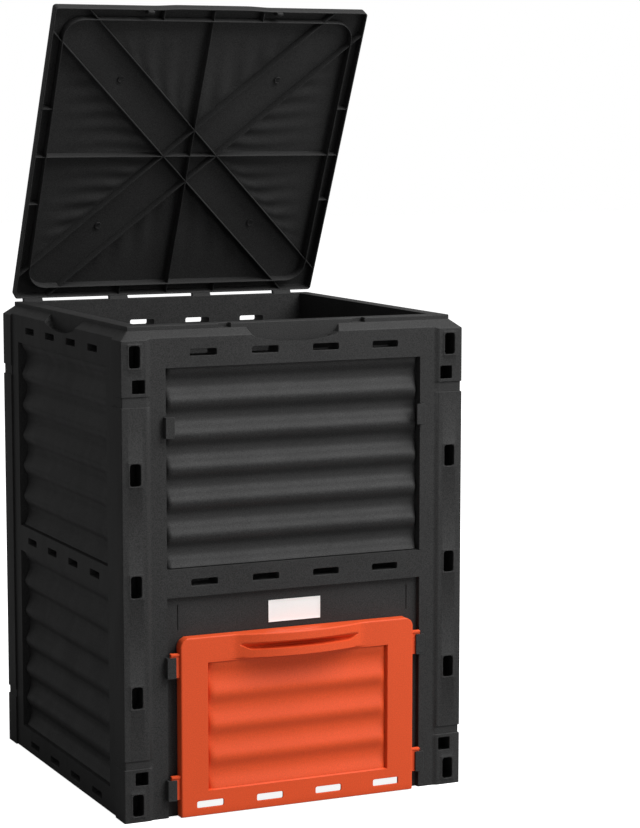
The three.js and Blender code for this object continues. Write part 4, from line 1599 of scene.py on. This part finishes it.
@dataclass
class Studio:
    """Pale floor, soft lamps, world light and the camera at the photograph's angle."""

    camera_at: Triple = (-1.6281, -3.90293, 1.12685)
    pitch: float = 6.975
    yaw: float = 24.773
    focal_pixels: float = 2485.46
    image_height: float = 828.0
    sensor: float = 36.0
    key: Lamp = Lamp("key", (2.39, -2.6, 4.56), (0.0, 0.0, 0.6), size=4.0, power=425.0)
    fill: Lamp = Lamp("fill", (2.2, -4.0, 0.5), (0.0, 0.0, 0.3), size=2.0, power=32.0)
    floor_size: float = 40.0
    floor_level: float = -0.0005
    paint: float = 0.80
    sky: float = 0.26
    glow: float = 0.9
    bounce: float = 0.29

    def camera(self) -> None:
        """Makes the camera and sets it as the scene's own."""
        data = bpy.data.cameras.new("camera")
        data.sensor_width = self.sensor
        data.lens = self.sensor * self.focal_pixels / self.image_height
        data.clip_end = 100.0
        camera = added("camera", data)
        camera.location = self.camera_at
        camera.rotation_euler = (math.radians(90.0 - self.pitch), 0.0, math.radians(-self.yaw))
        bpy.context.scene.camera = camera

    def world(self) -> None:
        """World that lights softly and is white to the camera."""
        world = bpy.data.worlds.new("studio")
        bpy.context.scene.world = world
        world.use_nodes = True
        t = Tree(world.node_tree)
        light = t.add("ShaderNodeBackground", {"Color": grey(1.0), "Strength": self.sky})
        white = t.add("ShaderNodeBackground", {"Color": grey(1.0), "Strength": 1.0})
        t.add("ShaderNodeOutputWorld", {"Surface": t.by_camera(light.outputs[0], white.outputs[0])})

    def floor(self) -> None:
        """Plain pale floor that is white to the camera and keeps the bin's shadow."""
        half, level = self.floor_size / 2.0, self.floor_level
        corners = [(-half, -half, level), (half, -half, level), (half, half, level), (-half, half, level)]
        mesh = bpy.data.meshes.new("floor")
        mesh.from_pydata(corners, [], [(0, 1, 2, 3)])
        floor = added("floor", mesh)
        material = bpy.data.materials.new("floor_paint")
        material.use_nodes = True
        t = Tree(material.node_tree)
        bounce = t.add("ShaderNodeBsdfDiffuse", {"Color": grey(self.bounce)})
        paint = t.add("ShaderNodeBsdfDiffuse", {"Color": grey(self.paint)})
        glow = t.add("ShaderNodeEmission", {"Color": grey(1.0), "Strength": self.glow})
        shown = t.add("ShaderNodeAddShader", {0: paint.outputs[0], 1: glow.outputs[0]})
        t.add("ShaderNodeOutputMaterial", {"Surface": t.by_camera(bounce.outputs[0], shown.outputs[0])})
        mesh.materials.append(material)

    def build(self) -> None:
        """Builds the whole studio."""
        self.camera()
        self.world()
        self.floor()
        self.key.build()
        self.fill.build()
        bpy.context.scene.view_settings.view_transform = "Standard"


def main() -> None:
    """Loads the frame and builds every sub-assembly in order."""
    logging.basicConfig(level=logging.INFO, format="%(message)s")
    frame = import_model()
    palette = Palette()
    Studio().build()
    for side in Side:
        Wall(side, palette).build()
    Lid(palette).build()
    Door(palette).build()
    NamePlate(palette).build()
    for name, node in frame["nodes"].items():
        if name.startswith("hinge_pin"):
            palette.repaint(node, PIN)


if __name__ == "__main__":
    main()
